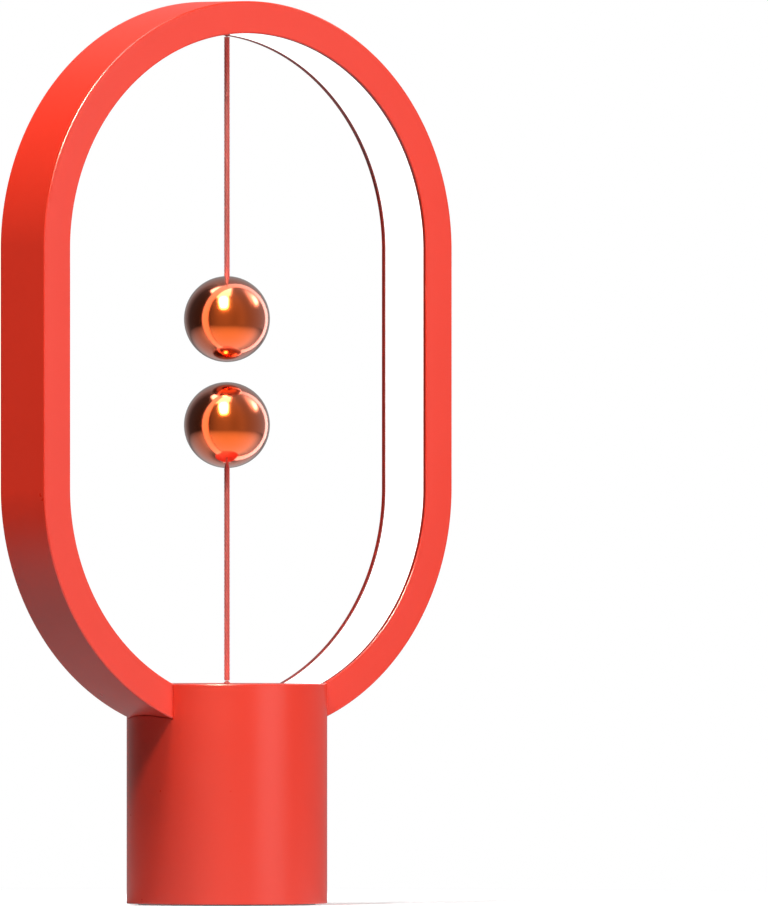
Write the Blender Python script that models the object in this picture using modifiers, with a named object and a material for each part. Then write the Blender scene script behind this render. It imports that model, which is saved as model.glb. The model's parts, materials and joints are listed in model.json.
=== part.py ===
"""A magnetic balance lamp: an oval light ring in a round base, and two magnetic balls on cords.

Metres, +Z up. The origin is the middle of the base's underside, +X runs across the ring's plane,
and the ring's front face looks along -Y. The lower ball hangs upwards, held by the upper one.
"""

import math

import bmesh
import bpy
from mathutils import Matrix, Vector
from mathutils.kdtree import KDTree

MM = 0.001

# Driving sizes of the ring
ring_radius = 103.0 * MM
ring_straight = 99.0 * MM
ring_band = 13.4 * MM
ring_depth = 32.2 * MM
ring_sink = 21.7 * MM
ring_wall = 2.0 * MM
ring_edge_round = 0.7 * MM
cover_rim = 1.2 * MM

# Driving sizes of the base
base_radius = 41.65 * MM
base_height = 91.7 * MM
base_wall = 2.6 * MM
base_chamfer = 0.4 * MM
base_lift = 0.4 * MM

# Clearances shared by all pieces
seat_gap = 0.3 * MM
socket_gap = 0.15 * MM
overrun = 4.0 * MM
joint_overlap = 0.6 * MM
merge_distance = 0.01 * MM
smooth_angle = math.radians(35.0)

# Light strip
diffuser_recess = 0.3 * MM
diffuser_wall = 1.5 * MM
diffuser_flange = 6.0 * MM
diffuser_flange_wall = 1.2 * MM
diffuser_gap_angle = math.radians(8.0)
strip_width = 10.0 * MM
strip_thickness = 0.5 * MM
strip_gap_angle = math.radians(28.0)
chip_length = 3.5 * MM
chip_width = 2.8 * MM
chip_thickness = 0.8 * MM
chip_spacing = 20.0 * MM

# Stack inside the base
foot_thickness = 1.5 * MM
foot_inset = 2.05 * MM
foot_chamfer = 0.3 * MM
bottom_thickness = 2.5 * MM
ballast_clearance = 0.8 * MM
ballast_height_share = 0.232
boss_inset = 5.05 * MM
boss_radius = 3.2 * MM
boss_height = 20.0 * MM
boss_rib_width = 2.0 * MM
boss_screw_radius = 1.25 * MM
boss_screw_length = 12.0 * MM
boss_screw_head_radius = 2.4 * MM
boss_screw_head = 1.3 * MM
boss_count = 4

# Top cap and the cord's hole in it
cap_thickness = 2.5 * MM
cap_edge = 1.2 * MM
ledge_width = 1.4 * MM
ledge_height = 1.5 * MM
grommet_radius = 4.0 * MM
grommet_flange_radius = 5.5 * MM
grommet_flange = 1.0 * MM
grommet_mouth_radius = 3.0 * MM
grommet_mouth_depth = 1.2 * MM

# Bracket that carries the ring
bracket_inset = 2.5 * MM
bracket_half_depth = 11.0 * MM
bracket_leg = 6.0 * MM
arch_thickness = 9.7 * MM
nut_plate_margin = 1.1 * MM
nut_plate_thickness = 2.0 * MM
nut_plate_half_depth = 9.0 * MM
frame_screw_offset = 10.0 * MM
frame_screw_radius = 1.5 * MM
frame_screw_head_radius = 2.8 * MM
frame_screw_head = 2.2 * MM
frame_screw_reach = 2.0 * MM
bracket_screw_length = 12.0 * MM
bracket_screw_radius = 1.6 * MM
bracket_screw_head_radius = 3.0 * MM
bracket_screw_head = 2.2 * MM

# Driver board, turned a little from straight back
socket_angle = math.radians(10.0)
board_width_share = 0.605
board_front_share = 0.93
board_inset = 3.05 * MM
board_thickness = 1.6 * MM
standoff_radius = 2.2 * MM
standoff_height = 3.5 * MM
standoff_inset = 4.0 * MM
standoff_back_inset = 12.0 * MM
component_half = 3.0 * MM
component_offset_share = 0.615
component_height = 3.2 * MM
chip_height = 1.2 * MM
capacitor_radius = 2.6 * MM
capacitor_height = 7.0 * MM

# Wires from the board to the light strip
wire_radius = 0.5 * MM
wire_half_spacing = 0.75 * MM
wire_hole_radius = 1.9 * MM
wire_point_spacing = 4.0 * MM
wire_end_angle = math.radians(26.0)
wire_bend_share = 0.85

# Charging socket and the lead's plug
usb_c_width = 8.25 * MM
usb_c_height = 2.4 * MM
usb_c_wall = 0.3 * MM
usb_c_hollow = 5.4 * MM
socket_wall = 0.3 * MM
socket_length = 7.3 * MM
socket_inset = 0.65 * MM
socket_back = 1.2 * MM
socket_tongue_width = 6.7 * MM
socket_tongue_height = 0.7 * MM
socket_tongue_length = 4.6 * MM
plug_reach = 5.9 * MM

# Pull switch
switch_half_width = 6.5 * MM
switch_wall = 1.5 * MM
switch_height = 19.7 * MM
switch_top = 2.5 * MM
rod_radius = 1.5 * MM
rod_collar_radius = 4.0 * MM
rod_collar_height = 2.0 * MM
rod_tail = 3.0 * MM
spring_length = 8.6 * MM
spring_radius = 2.5 * MM
spring_wire_radius = 0.35 * MM
spring_turns = 5
contact_width = 2.5 * MM
contact_thickness = 0.5 * MM
contact_reach = 0.7 * MM
contact_drop = 7.0 * MM

# Cords and balls
cord_radius = 0.95 * MM
bead_radius = 1.3 * MM
ball_radius = 17.85 * MM
ball_wall = 2.0 * MM
ball_gap = 8.3 * MM
ball_gap_height_share = 0.4794
magnet_radius = 6.0 * MM
magnet_height = 5.0 * MM
magnet_pocket_wall = 1.5 * MM
magnet_floor = 3.15 * MM
cord_stop_radius = 2.6 * MM
cord_stop_height = 3.0 * MM
hanger_radius = 4.0 * MM
hanger_thickness = 1.2 * MM
hanger_neck_radius = 1.5 * MM

# Charging lead, its overmoulds and the long plug
lead_diameter = 3.5 * MM
lead_pitch = 4.0 * MM
overmould_c = (11.9 * MM, 20.0 * MM, 6.2 * MM)
overmould_a = (15.4 * MM, 20.2 * MM, 8.0 * MM)
overmould_round = 2.8 * MM
collar_radius = 2.75 * MM
collar_end_radius = 2.6 * MM
collar_length = 9.4 * MM
usb_a_width = 12.0 * MM
usb_a_height = 4.5 * MM
usb_a_length = 11.8 * MM
usb_a_wall = 0.35 * MM
usb_a_back = 1.2 * MM
usb_a_window = 2.3 * MM
usb_a_window_offset = 2.6 * MM
usb_a_window_from_end = 3.4 * MM
usb_a_tongue_height = 1.8 * MM
tie_thickness = 0.6 * MM
tie_width = 7.0 * MM
tie_round = 1.0 * MM

# The coil lies behind the base: its middle, its turns and the direction in which the lead reaches it
coil_centre = (52.0 * MM, 57.0 * MM)
coil_mean_radius = 20.0 * MM
coil_layers = 4
coil_turns_per_layer = 2.125
coil_start_angle = math.radians(90.0)
coil_tie_angle = math.radians(-20.0)

# The lead's run from the coil up to the long plug
tail_edge_angle = math.radians(55.0)
tail_turn_angle = math.radians(75.0)
tail_radius = 15.0 * MM

# The points that the lead passes between the plug's collar and the coil, chosen by hand
lead_route = (
    (14.0 * MM, 77.6 * MM, 23.6 * MM),
    (16.4 * MM, 83.0 * MM, 18.3 * MM),
    (19.6 * MM, 87.2 * MM, 12.2 * MM),
    (23.6 * MM, 90.2 * MM, 7.0 * MM),
    (28.4 * MM, 91.4 * MM, 3.6 * MM),
    (33.4 * MM, 90.7 * MM, 2.7 * MM),
    (38.0 * MM, 88.4 * MM, 2.65 * MM),
    (41.6 * MM, 85.4 * MM, 2.65 * MM),
    (44.6 * MM, 82.8 * MM, 2.65 * MM),
)

# Faceting
turn_steps = 56
small_steps = 16
arc_steps = 16
end_steps = 6
corner_steps = 2
ball_steps = 26
cord_steps = 12
bead_rings = 6
wire_sides = 2
span_steps = 24
tail_steps = 12
coil_points_per_turn = 24
gap_samples = 4
spring_points_per_turn = 10

# Places worked out from the sizes above
arc_low_z = base_height - ring_sink + ring_radius
arc_top_z = arc_low_z + ring_straight
ring_inner = ring_radius - ring_band
ring_half = ring_depth / 2
inner_half = ring_half - ring_wall - seat_gap
base_inner = base_radius - base_wall
foot_radius = base_inner - foot_inset
boss_centre_radius = base_inner - boss_inset
ballast_radius = boss_centre_radius - boss_radius - ballast_clearance
bracket_half_width = ballast_radius - bracket_inset
bracket_inner = bracket_half_width - bracket_leg
arch_underside = arc_low_z - ring_radius - arch_thickness
cap_bottom = base_height - cap_thickness
bottom_cover_z = foot_thickness + seat_gap
ballast_z = bottom_cover_z + bottom_thickness + seat_gap
ballast_height = arch_underside * ballast_height_share
ballast_top = ballast_z + ballast_height
leg_bottom = ballast_top + seat_gap
board_z = leg_bottom + standoff_height + seat_gap
board_half_width = bracket_inner * board_width_share
board_front = bracket_inner * board_front_share
board_back = base_inner - board_inset
standoff_half_spacing = board_half_width - standoff_inset
standoff_front = board_front - standoff_inset
standoff_back = board_back - standoff_back_inset
component_offset = board_half_width * component_offset_share
socket_width = usb_c_width + 2 * socket_gap + 2 * socket_wall
socket_height = usb_c_height + 2 * socket_gap + 2 * socket_wall
socket_z = board_z + board_thickness + seat_gap + socket_height / 2
diffuser_radius = ring_inner + diffuser_recess
strip_radius = ring_radius - ring_wall - seat_gap
nut_plate_radius = strip_radius
nut_plate_reach = frame_screw_offset + frame_screw_radius + nut_plate_margin
nut_plate_angle = math.asin(nut_plate_reach / nut_plate_radius)
wire_offset = (frame_screw_offset + frame_screw_head_radius + bracket_inner) / 2
upper_pivot_z = arc_top_z + ring_inner
lower_pivot_z = base_height
ball_gap_height = base_height + (upper_pivot_z - base_height) * ball_gap_height_share
upper_ball_z = ball_gap_height + ball_gap / 2 + ball_radius
lower_ball_z = ball_gap_height - ball_gap / 2 - ball_radius
cord_start = bead_radius + seat_gap
ball_inner = ball_radius - ball_wall
rod_top = lower_pivot_z - cord_start
switch_top_z = arch_underside - seat_gap
guide_bottom = switch_top_z - switch_top
spring_top = guide_bottom - seat_gap
collar_top = spring_top - spring_length - seat_gap
rod_bottom = collar_top - rod_collar_height - rod_tail
coil_floor = tie_thickness + seat_gap + lead_diameter / 2
tail_climb = lead_diameter / 2 + seat_gap + overmould_a[2] / 2

RED = (0.80, 0.065, 0.035)
WHITE = (0.92, 0.92, 0.90)
COPPER = (0.80, 0.36, 0.20)
STEEL = (0.55, 0.55, 0.56)
BRASS = (0.78, 0.60, 0.28)
DARK = (0.03, 0.03, 0.035)
BOARD_GREEN = (0.03, 0.22, 0.10)

sides = ((-1, "left"), (1, "right"))



def clear_scene():
    for obj in list(bpy.data.objects):
        bpy.data.objects.remove(obj, do_unlink=True)


def new_collection(name):
    collection = bpy.data.collections.new(name)
    bpy.context.scene.collection.children.link(collection)
    return collection


clear_scene()
lamp = new_collection("magnetic_balance_lamp")
cutters = new_collection("cutters")


def make_material(name, colour, roughness, metallic=0.0):
    material = bpy.data.materials.new(name)
    material.use_nodes = True
    shader = material.node_tree.nodes["Principled BSDF"]
    shader.inputs["Base Color"].default_value = (*colour, 1.0)
    shader.inputs["Roughness"].default_value = roughness
    shader.inputs["Metallic"].default_value = metallic
    return material


red_plastic = make_material("red_plastic", RED, 0.42)
red_cord = make_material("red_cord", RED, 0.75)
milky_plastic = make_material("milky_plastic", WHITE, 0.5)
white_plastic = make_material("white_plastic", WHITE, 0.4)
copper_plate = make_material("copper_plate", COPPER, 0.12, 1.0)
bright_steel = make_material("bright_steel", STEEL, 0.25, 1.0)
dull_steel = make_material("dull_steel", STEEL, 0.45, 1.0)
brass_sheet = make_material("brass_sheet", BRASS, 0.35, 1.0)
black_rubber = make_material("black_rubber", DARK, 0.8)
black_plastic = make_material("black_plastic", DARK, 0.5)
circuit_board = make_material("circuit_board", BOARD_GREEN, 0.5)
led_strip_white = make_material("led_strip_white", WHITE, 0.6)


def add_mesh(name, mesh, material, collection=lamp):
    """Puts a mesh into the scene as an object, smooth where its faces meet at a small angle."""
    mesh.name = name
    mesh.shade_smooth()
    mesh.set_sharp_from_angle(angle=smooth_angle)
    obj = bpy.data.objects.new(name, mesh)
    collection.objects.link(obj)
    if material is not None:
        mesh.materials.clear()
        mesh.materials.append(material)
    if collection is cutters:
        obj.hide_render = True
        obj.display_type = "WIRE"
    return obj


def finish_mesh(name, bm, material, collection=lamp):
    mesh = bpy.data.meshes.new(name)
    bm.to_mesh(mesh)
    bm.free()
    return add_mesh(name, mesh, material, collection)


def evaluated_mesh(obj):
    """The object's shape with its modifiers, its loose caps welded, in world space."""
    graph = bpy.context.evaluated_depsgraph_get()
    graph.update()
    mesh = bpy.data.meshes.new_from_object(obj.evaluated_get(graph))
    bm = bmesh.new()
    bm.from_mesh(mesh)
    bmesh.ops.remove_doubles(bm, verts=bm.verts, dist=merge_distance)
    bmesh.ops.transform(bm, matrix=obj.matrix_world, verts=bm.verts)
    bm.to_mesh(mesh)
    bm.free()
    return mesh


def made_mesh(obj, material, name=None, collection=lamp):
    """Turns a curve or a modified object into a plain mesh object that a Boolean can use."""
    bpy.context.view_layer.update()
    mesh = evaluated_mesh(obj)
    name = name or obj.name
    bpy.data.objects.remove(obj, do_unlink=True)
    return add_mesh(name, mesh, material, collection)


def boolean(obj, other, operation):
    modifier = obj.modifiers.new(f"{operation.lower()}_{other.name}", "BOOLEAN")
    modifier.operation = operation
    modifier.solver = "EXACT"
    modifier.object = other
    return obj


def cut(obj, *others):
    for other in others:
        boolean(obj, other, "DIFFERENCE")
    return obj


def join(obj, *others):
    for other in others:
        boolean(obj, other, "UNION")
    return obj


def turned(name, profile, material, steps=turn_steps, collection=lamp, place=(0.0, 0.0, 0.0)):
    """A body turned about Z from a profile of (radius, height) that runs down its outer side.

    A profile that starts and ends on the axis is a solid, and any other is a closed ring.
    """
    mesh = bpy.data.meshes.new(name)
    bm = bmesh.new()
    verts = [bm.verts.new((radius, 0.0, height)) for radius, height in profile]
    for first, second in zip(verts, verts[1:]):
        bm.edges.new((first, second))
    if profile[0][0] > 0.0:
        bm.edges.new((verts[-1], verts[0]))
    bm.to_mesh(mesh)
    bm.free()
    obj = add_mesh(name, mesh, material, collection)
    screw = obj.modifiers.new("turn", "SCREW")
    screw.steps = steps
    screw.render_steps = steps
    screw.use_merge_vertices = True
    screw.merge_threshold = merge_distance
    screw.use_smooth_shade = True
    obj.location = place
    return obj


def cylinder_profile(radius, low, high):
    return [(0.0, high), (radius, high), (radius, low), (0.0, low)]


def rod(name, radius, low, high, material, steps=small_steps, collection=lamp, place=(0.0, 0.0)):
    return turned(
        name, cylinder_profile(radius, low, high), material, steps, collection, (*place, 0.0)
    )


def box(name, low, high, material, collection=lamp, round_edges=0.0):
    """A block between two corners, with its edges rounded where a radius is given."""
    size = [b - a for a, b in zip(low, high)]
    middle = [(a + b) / 2 for a, b in zip(low, high)]
    bm = bmesh.new()
    bmesh.ops.create_cube(bm, size=1.0, matrix=Matrix.Diagonal((*size, 1.0)))
    obj = finish_mesh(name, bm, material, collection)
    obj.location = middle
    if round_edges > 0.0:
        bevel = obj.modifiers.new("round", "BEVEL")
        bevel.width = round_edges
        bevel.segments = corner_steps + 1
    return obj


def plate(name, outline, half_depth, material, holes=(), collection=lamp):
    """A flat piece in the XZ plane, from its outline of (x, z), as deep along Y each way."""
    curve = bpy.data.curves.new(name, "CURVE")
    curve.dimensions = "2D"
    curve.fill_mode = "BOTH"
    curve.extrude = half_depth
    for points in (outline, *holes):
        spline = curve.splines.new("POLY")
        spline.points.add(len(points) - 1)
        for point, (x, z) in zip(spline.points, points):
            point.co = (x, z, 0.0, 1.0)
        spline.use_cyclic_u = True
    obj = bpy.data.objects.new(name, curve)
    collection.objects.link(obj)
    obj.rotation_euler.x = math.radians(90.0)
    return made_mesh(obj, material, name, collection)


def tube(name, points, radius, material, resolution=wire_sides, collection=lamp):
    """A round wire along a run of points."""
    curve = bpy.data.curves.new(name, "CURVE")
    curve.dimensions = "3D"
    curve.bevel_depth = radius
    curve.bevel_resolution = resolution
    curve.use_fill_caps = True
    spline = curve.splines.new("POLY")
    spline.points.add(len(points) - 1)
    for point, place in zip(spline.points, points):
        point.co = (*place, 1.0)
    curve.materials.append(material)
    obj = bpy.data.objects.new(name, curve)
    collection.objects.link(obj)
    return obj


def arc(centre, radius, start, end, steps):
    """Points on an arc, its angles measured from +X towards +Z."""
    turns = [start + (end - start) * i / steps for i in range(steps + 1)]
    return [
        (centre[0] + radius * math.cos(turn), centre[1] + radius * math.sin(turn)) for turn in turns
    ]


def rounded(points, radii, steps=corner_steps):
    """A closed outline with an arc of the given radius at each named corner."""
    outline = []
    for i, point in enumerate(points):
        radius = radii.get(i, 0.0)
        corner = Vector(point)
        if radius == 0.0:
            outline.append(tuple(corner))
            continue
        back = (Vector(points[i - 1]) - corner).normalized()
        ahead = (Vector(points[(i + 1) % len(points)]) - corner).normalized()
        centre = corner + (back + ahead) * radius
        for k in range(steps + 1):
            turn = math.pi / 2 * k / steps
            outline.append(
                tuple(centre - ahead * radius * math.cos(turn) - back * radius * math.sin(turn))
            )
    return outline


def stadium(half_width, radius, steps=end_steps):
    """The outline of a slot with round ends, half_width from its middle to each end."""
    reach = half_width - radius
    right = arc((reach, 0.0), radius, -math.pi / 2, math.pi / 2, steps)
    left = arc((-reach, 0.0), radius, math.pi / 2, math.pi * 3 / 2, steps)
    return right + left


def oval_sweep(name, section, material, opening=0.0, collection=lamp):
    """Carries a section of (radius, depth) round the ring's oval, from its lowest point and back.

    An opening leaves that angle free on each side of the lowest point, and closes both ends.
    """
    bm = bmesh.new()
    start = [
        bm.verts.new((radius * math.sin(opening), depth, arc_low_z - radius * math.cos(opening)))
        for radius, depth in section
    ]
    loop = [bm.edges.new((a, b)) for a, b in zip(start, start[1:] + start[:1])]
    first_loop = list(loop)
    ends = start + loop
    quarter = math.pi / 2 - opening
    quarter_steps = max(3, round(arc_steps * quarter / (math.pi / 2)))
    legs = (
        (arc_low_z, quarter, quarter_steps, ring_straight),
        (arc_top_z, math.pi, 2 * arc_steps, -ring_straight),
        (arc_low_z, quarter, quarter_steps, 0.0),
    )
    for height, angle, steps, rise in legs:
        turned_part = bmesh.ops.spin(
            bm, geom=ends, cent=(0.0, 0.0, height), axis=(0.0, -1.0, 0.0), angle=angle, steps=steps
        )
        ends = turned_part["geom_last"]
        if rise == 0.0:
            break
        edges = [item for item in ends if isinstance(item, bmesh.types.BMEdge)]
        raised = bmesh.ops.extrude_edge_only(bm, edges=edges)["geom"]
        ends = [
            item for item in raised if isinstance(item, (bmesh.types.BMVert, bmesh.types.BMEdge))
        ]
        moved = [item for item in ends if isinstance(item, bmesh.types.BMVert)]
        bmesh.ops.translate(bm, verts=moved, vec=(0.0, 0.0, rise))
    if opening > 0.0:
        last_loop = [item for item in ends if isinstance(item, bmesh.types.BMEdge)]
        bmesh.ops.edgeloop_fill(bm, edges=first_loop)
        bmesh.ops.edgeloop_fill(bm, edges=last_loop)
    bmesh.ops.remove_doubles(bm, verts=bm.verts, dist=merge_distance)
    bmesh.ops.recalc_face_normals(bm, faces=bm.faces)
    return finish_mesh(name, bm, material, collection)


def oval_place(distance, radius):
    """The place on the oval at a distance from its lowest point, and the turn of its outward side.

    The turn is measured from straight down towards +X.
    """
    quarter = radius * math.pi / 2
    if distance < quarter:
        turn = distance / radius
        return radius * math.sin(turn), arc_low_z - radius * math.cos(turn), turn
    distance -= quarter
    if distance < ring_straight:
        return radius, arc_low_z + distance, math.pi / 2
    distance -= ring_straight
    if distance < 2 * quarter:
        turn = math.pi / 2 + distance / radius
        return radius * math.sin(turn), arc_top_z - radius * math.cos(turn), turn
    distance -= 2 * quarter
    if distance < ring_straight:
        return -radius, arc_top_z - distance, math.pi * 3 / 2
    turn = math.pi * 3 / 2 + (distance - ring_straight) / radius
    return radius * math.sin(turn), arc_low_z - radius * math.cos(turn), turn


def smooth_points(route, spacing):
    """Points along a smooth curve through a route's own points, evenly spaced."""
    route = [Vector(point) for point in route]
    padded = [route[0] * 2 - route[1], *route, route[-1] * 2 - route[-2]]
    fine = []
    for before, a, b, after in zip(padded, padded[1:], padded[2:], padded[3:]):
        for i in range(span_steps):
            t = i / span_steps
            fine.append(
                (
                    a * 2
                    + (b - before) * t
                    + (before * 2 - a * 5 + b * 4 - after) * t**2
                    + (a * 3 - before - b * 3 + after) * t**3
                )
                / 2
            )
    fine.append(route[-1])
    return even_points(fine, spacing)


def even_points(fine, spacing):
    lengths = [(b - a).length for a, b in zip(fine, fine[1:])]
    total = sum(lengths)
    count = max(2, round(total / spacing))
    points = [fine[0]]
    travelled = 0.0
    target = total / count
    for a, b, length in zip(fine, fine[1:], lengths):
        while travelled + length >= target and len(points) < count:
            points.append(a.lerp(b, (target - travelled) / length))
            target += total / count
        travelled += length
    points.append(fine[-1])
    return points


def ring():
    """The light ring: a tray that opens to the back, its cover, and the strip it holds."""
    ledge = ring_half - ring_wall - seat_gap
    shell_section = rounded(
        [
            (ring_inner, -ring_half),
            (ring_radius, -ring_half),
            (ring_radius, ring_half),
            (ring_radius - cover_rim, ring_half),
            (ring_radius - cover_rim, ledge),
            (ring_radius - ring_wall, ledge),
            (ring_radius - ring_wall, -ring_half + ring_wall),
            (ring_inner, -ring_half + ring_wall),
        ],
        {0: ring_edge_round / 2, 1: ring_edge_round, 2: ring_edge_round},
    )
    shell = oval_sweep("frame_shell", shell_section, red_plastic)
    rod_hole = rod(
        "rod_hole",
        grommet_mouth_radius,
        arch_underside,
        arc_low_z - ring_radius + ring_wall + overrun,
        None,
        collection=cutters,
    )
    screw_holes = [
        rod(
            f"frame_screw_hole_{side_name}",
            frame_screw_radius + seat_gap,
            arch_underside - overrun,
            arc_low_z - ring_radius + ring_wall + nut_plate_thickness + overrun,
            None,
            collection=cutters,
            place=(side * frame_screw_offset, 0.0),
        )
        for side, side_name in sides
    ]
    wire_hole = rod(
        "wire_hole",
        wire_hole_radius,
        arch_underside - overrun,
        arc_low_z - ring_radius + ring_wall + nut_plate_thickness + overrun,
        None,
        collection=cutters,
        place=(-wire_offset, 0.0),
    )
    cut(shell, rod_hole, *screw_holes, wire_hole)

    cover_outer = ring_radius - cover_rim - seat_gap
    cover_section = rounded(
        [
            (ring_inner, ring_half - ring_wall),
            (cover_outer, ring_half - ring_wall),
            (cover_outer, ring_half),
            (ring_inner, ring_half),
        ],
        {3: ring_edge_round / 2},
    )
    oval_sweep("frame_rear_cover", cover_section, red_plastic)

    inner = diffuser_radius
    wall = diffuser_radius + diffuser_wall
    flange = diffuser_radius + diffuser_flange
    flange_half = inner_half - diffuser_flange_wall
    diffuser_section = [
        (inner, -inner_half),
        (inner, inner_half),
        (flange, inner_half),
        (flange, flange_half),
        (wall, flange_half),
        (wall, -flange_half),
        (flange, -flange_half),
        (flange, -inner_half),
    ]
    diffuser = oval_sweep("diffuser", diffuser_section, milky_plastic, diffuser_gap_angle)
    neck_hole = rod(
        "neck_hole",
        hanger_neck_radius + 2 * seat_gap,
        arc_top_z + ring_inner - overrun,
        arc_top_z + wall + overrun / 2,
        None,
        collection=cutters,
    )
    cut(diffuser, neck_hole)

    strip_inner = strip_radius - strip_thickness
    strip_section = [
        (strip_inner, -strip_width / 2),
        (strip_inner, strip_width / 2),
        (strip_radius, strip_width / 2),
        (strip_radius, -strip_width / 2),
    ]
    strip = oval_sweep("led_strip", strip_section, led_strip_white, strip_gap_angle)
    join(strip, led_chips(strip_inner + strip_thickness / 2))

    plate_outline = arc(
        (0.0, arc_low_z),
        nut_plate_radius,
        -math.pi / 2 - nut_plate_angle,
        -math.pi / 2 + nut_plate_angle,
        end_steps,
    ) + arc(
        (0.0, arc_low_z),
        nut_plate_radius - nut_plate_thickness,
        -math.pi / 2 + nut_plate_angle,
        -math.pi / 2 - nut_plate_angle,
        end_steps,
    )
    nut_plate = plate("frame_nut_plate", plate_outline, nut_plate_half_depth, bright_steel)
    cut(nut_plate, rod_hole, *screw_holes)

    hanger_z = arc_top_z + wall + seat_gap
    hanger_bottom = upper_pivot_z + cord_start
    turned(
        "cord_hanger",
        [
            (0.0, hanger_z + hanger_thickness),
            (hanger_radius, hanger_z + hanger_thickness),
            (hanger_radius, hanger_z),
            (hanger_neck_radius, hanger_z),
            (hanger_neck_radius, hanger_bottom),
            (0.0, hanger_bottom),
        ],
        white_plastic,
        small_steps,
    )
    return rod_hole, screw_holes, wire_hole


def led_chips(outer_radius):
    """The light chips, evenly spaced along the strip and sunk into it to be soldered."""
    middle_radius = outer_radius - (chip_thickness + strip_thickness) / 2
    start = middle_radius * (strip_gap_angle + chip_length / middle_radius)
    whole = 2 * ring_straight + 2 * math.pi * middle_radius
    count = int((whole - 2 * start) / chip_spacing)
    bm = bmesh.new()
    size = Matrix.Diagonal((chip_length, chip_width, chip_thickness + strip_thickness / 2, 1.0))
    for i in range(count + 1):
        x, z, turn = oval_place(start + i * (whole - 2 * start) / count, middle_radius)
        place = Matrix.Translation((x, 0.0, z)) @ Matrix.Rotation(-turn, 4, "Y")
        bmesh.ops.create_cube(bm, size=1.0, matrix=place @ size)
    return finish_mesh("led_chips", bm, None, cutters)


def full_oval(name, radius, half_depth):
    """A solid oval as wide as the given end radius, for cutting the ring's way into the base."""
    right = arc((0.0, arc_top_z), radius, 0.0, math.pi, 2 * arc_steps)
    left = arc((0.0, arc_low_z), radius, math.pi, 2 * math.pi, 2 * arc_steps)
    return plate(name, right + left, half_depth, None, collection=cutters)


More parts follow.
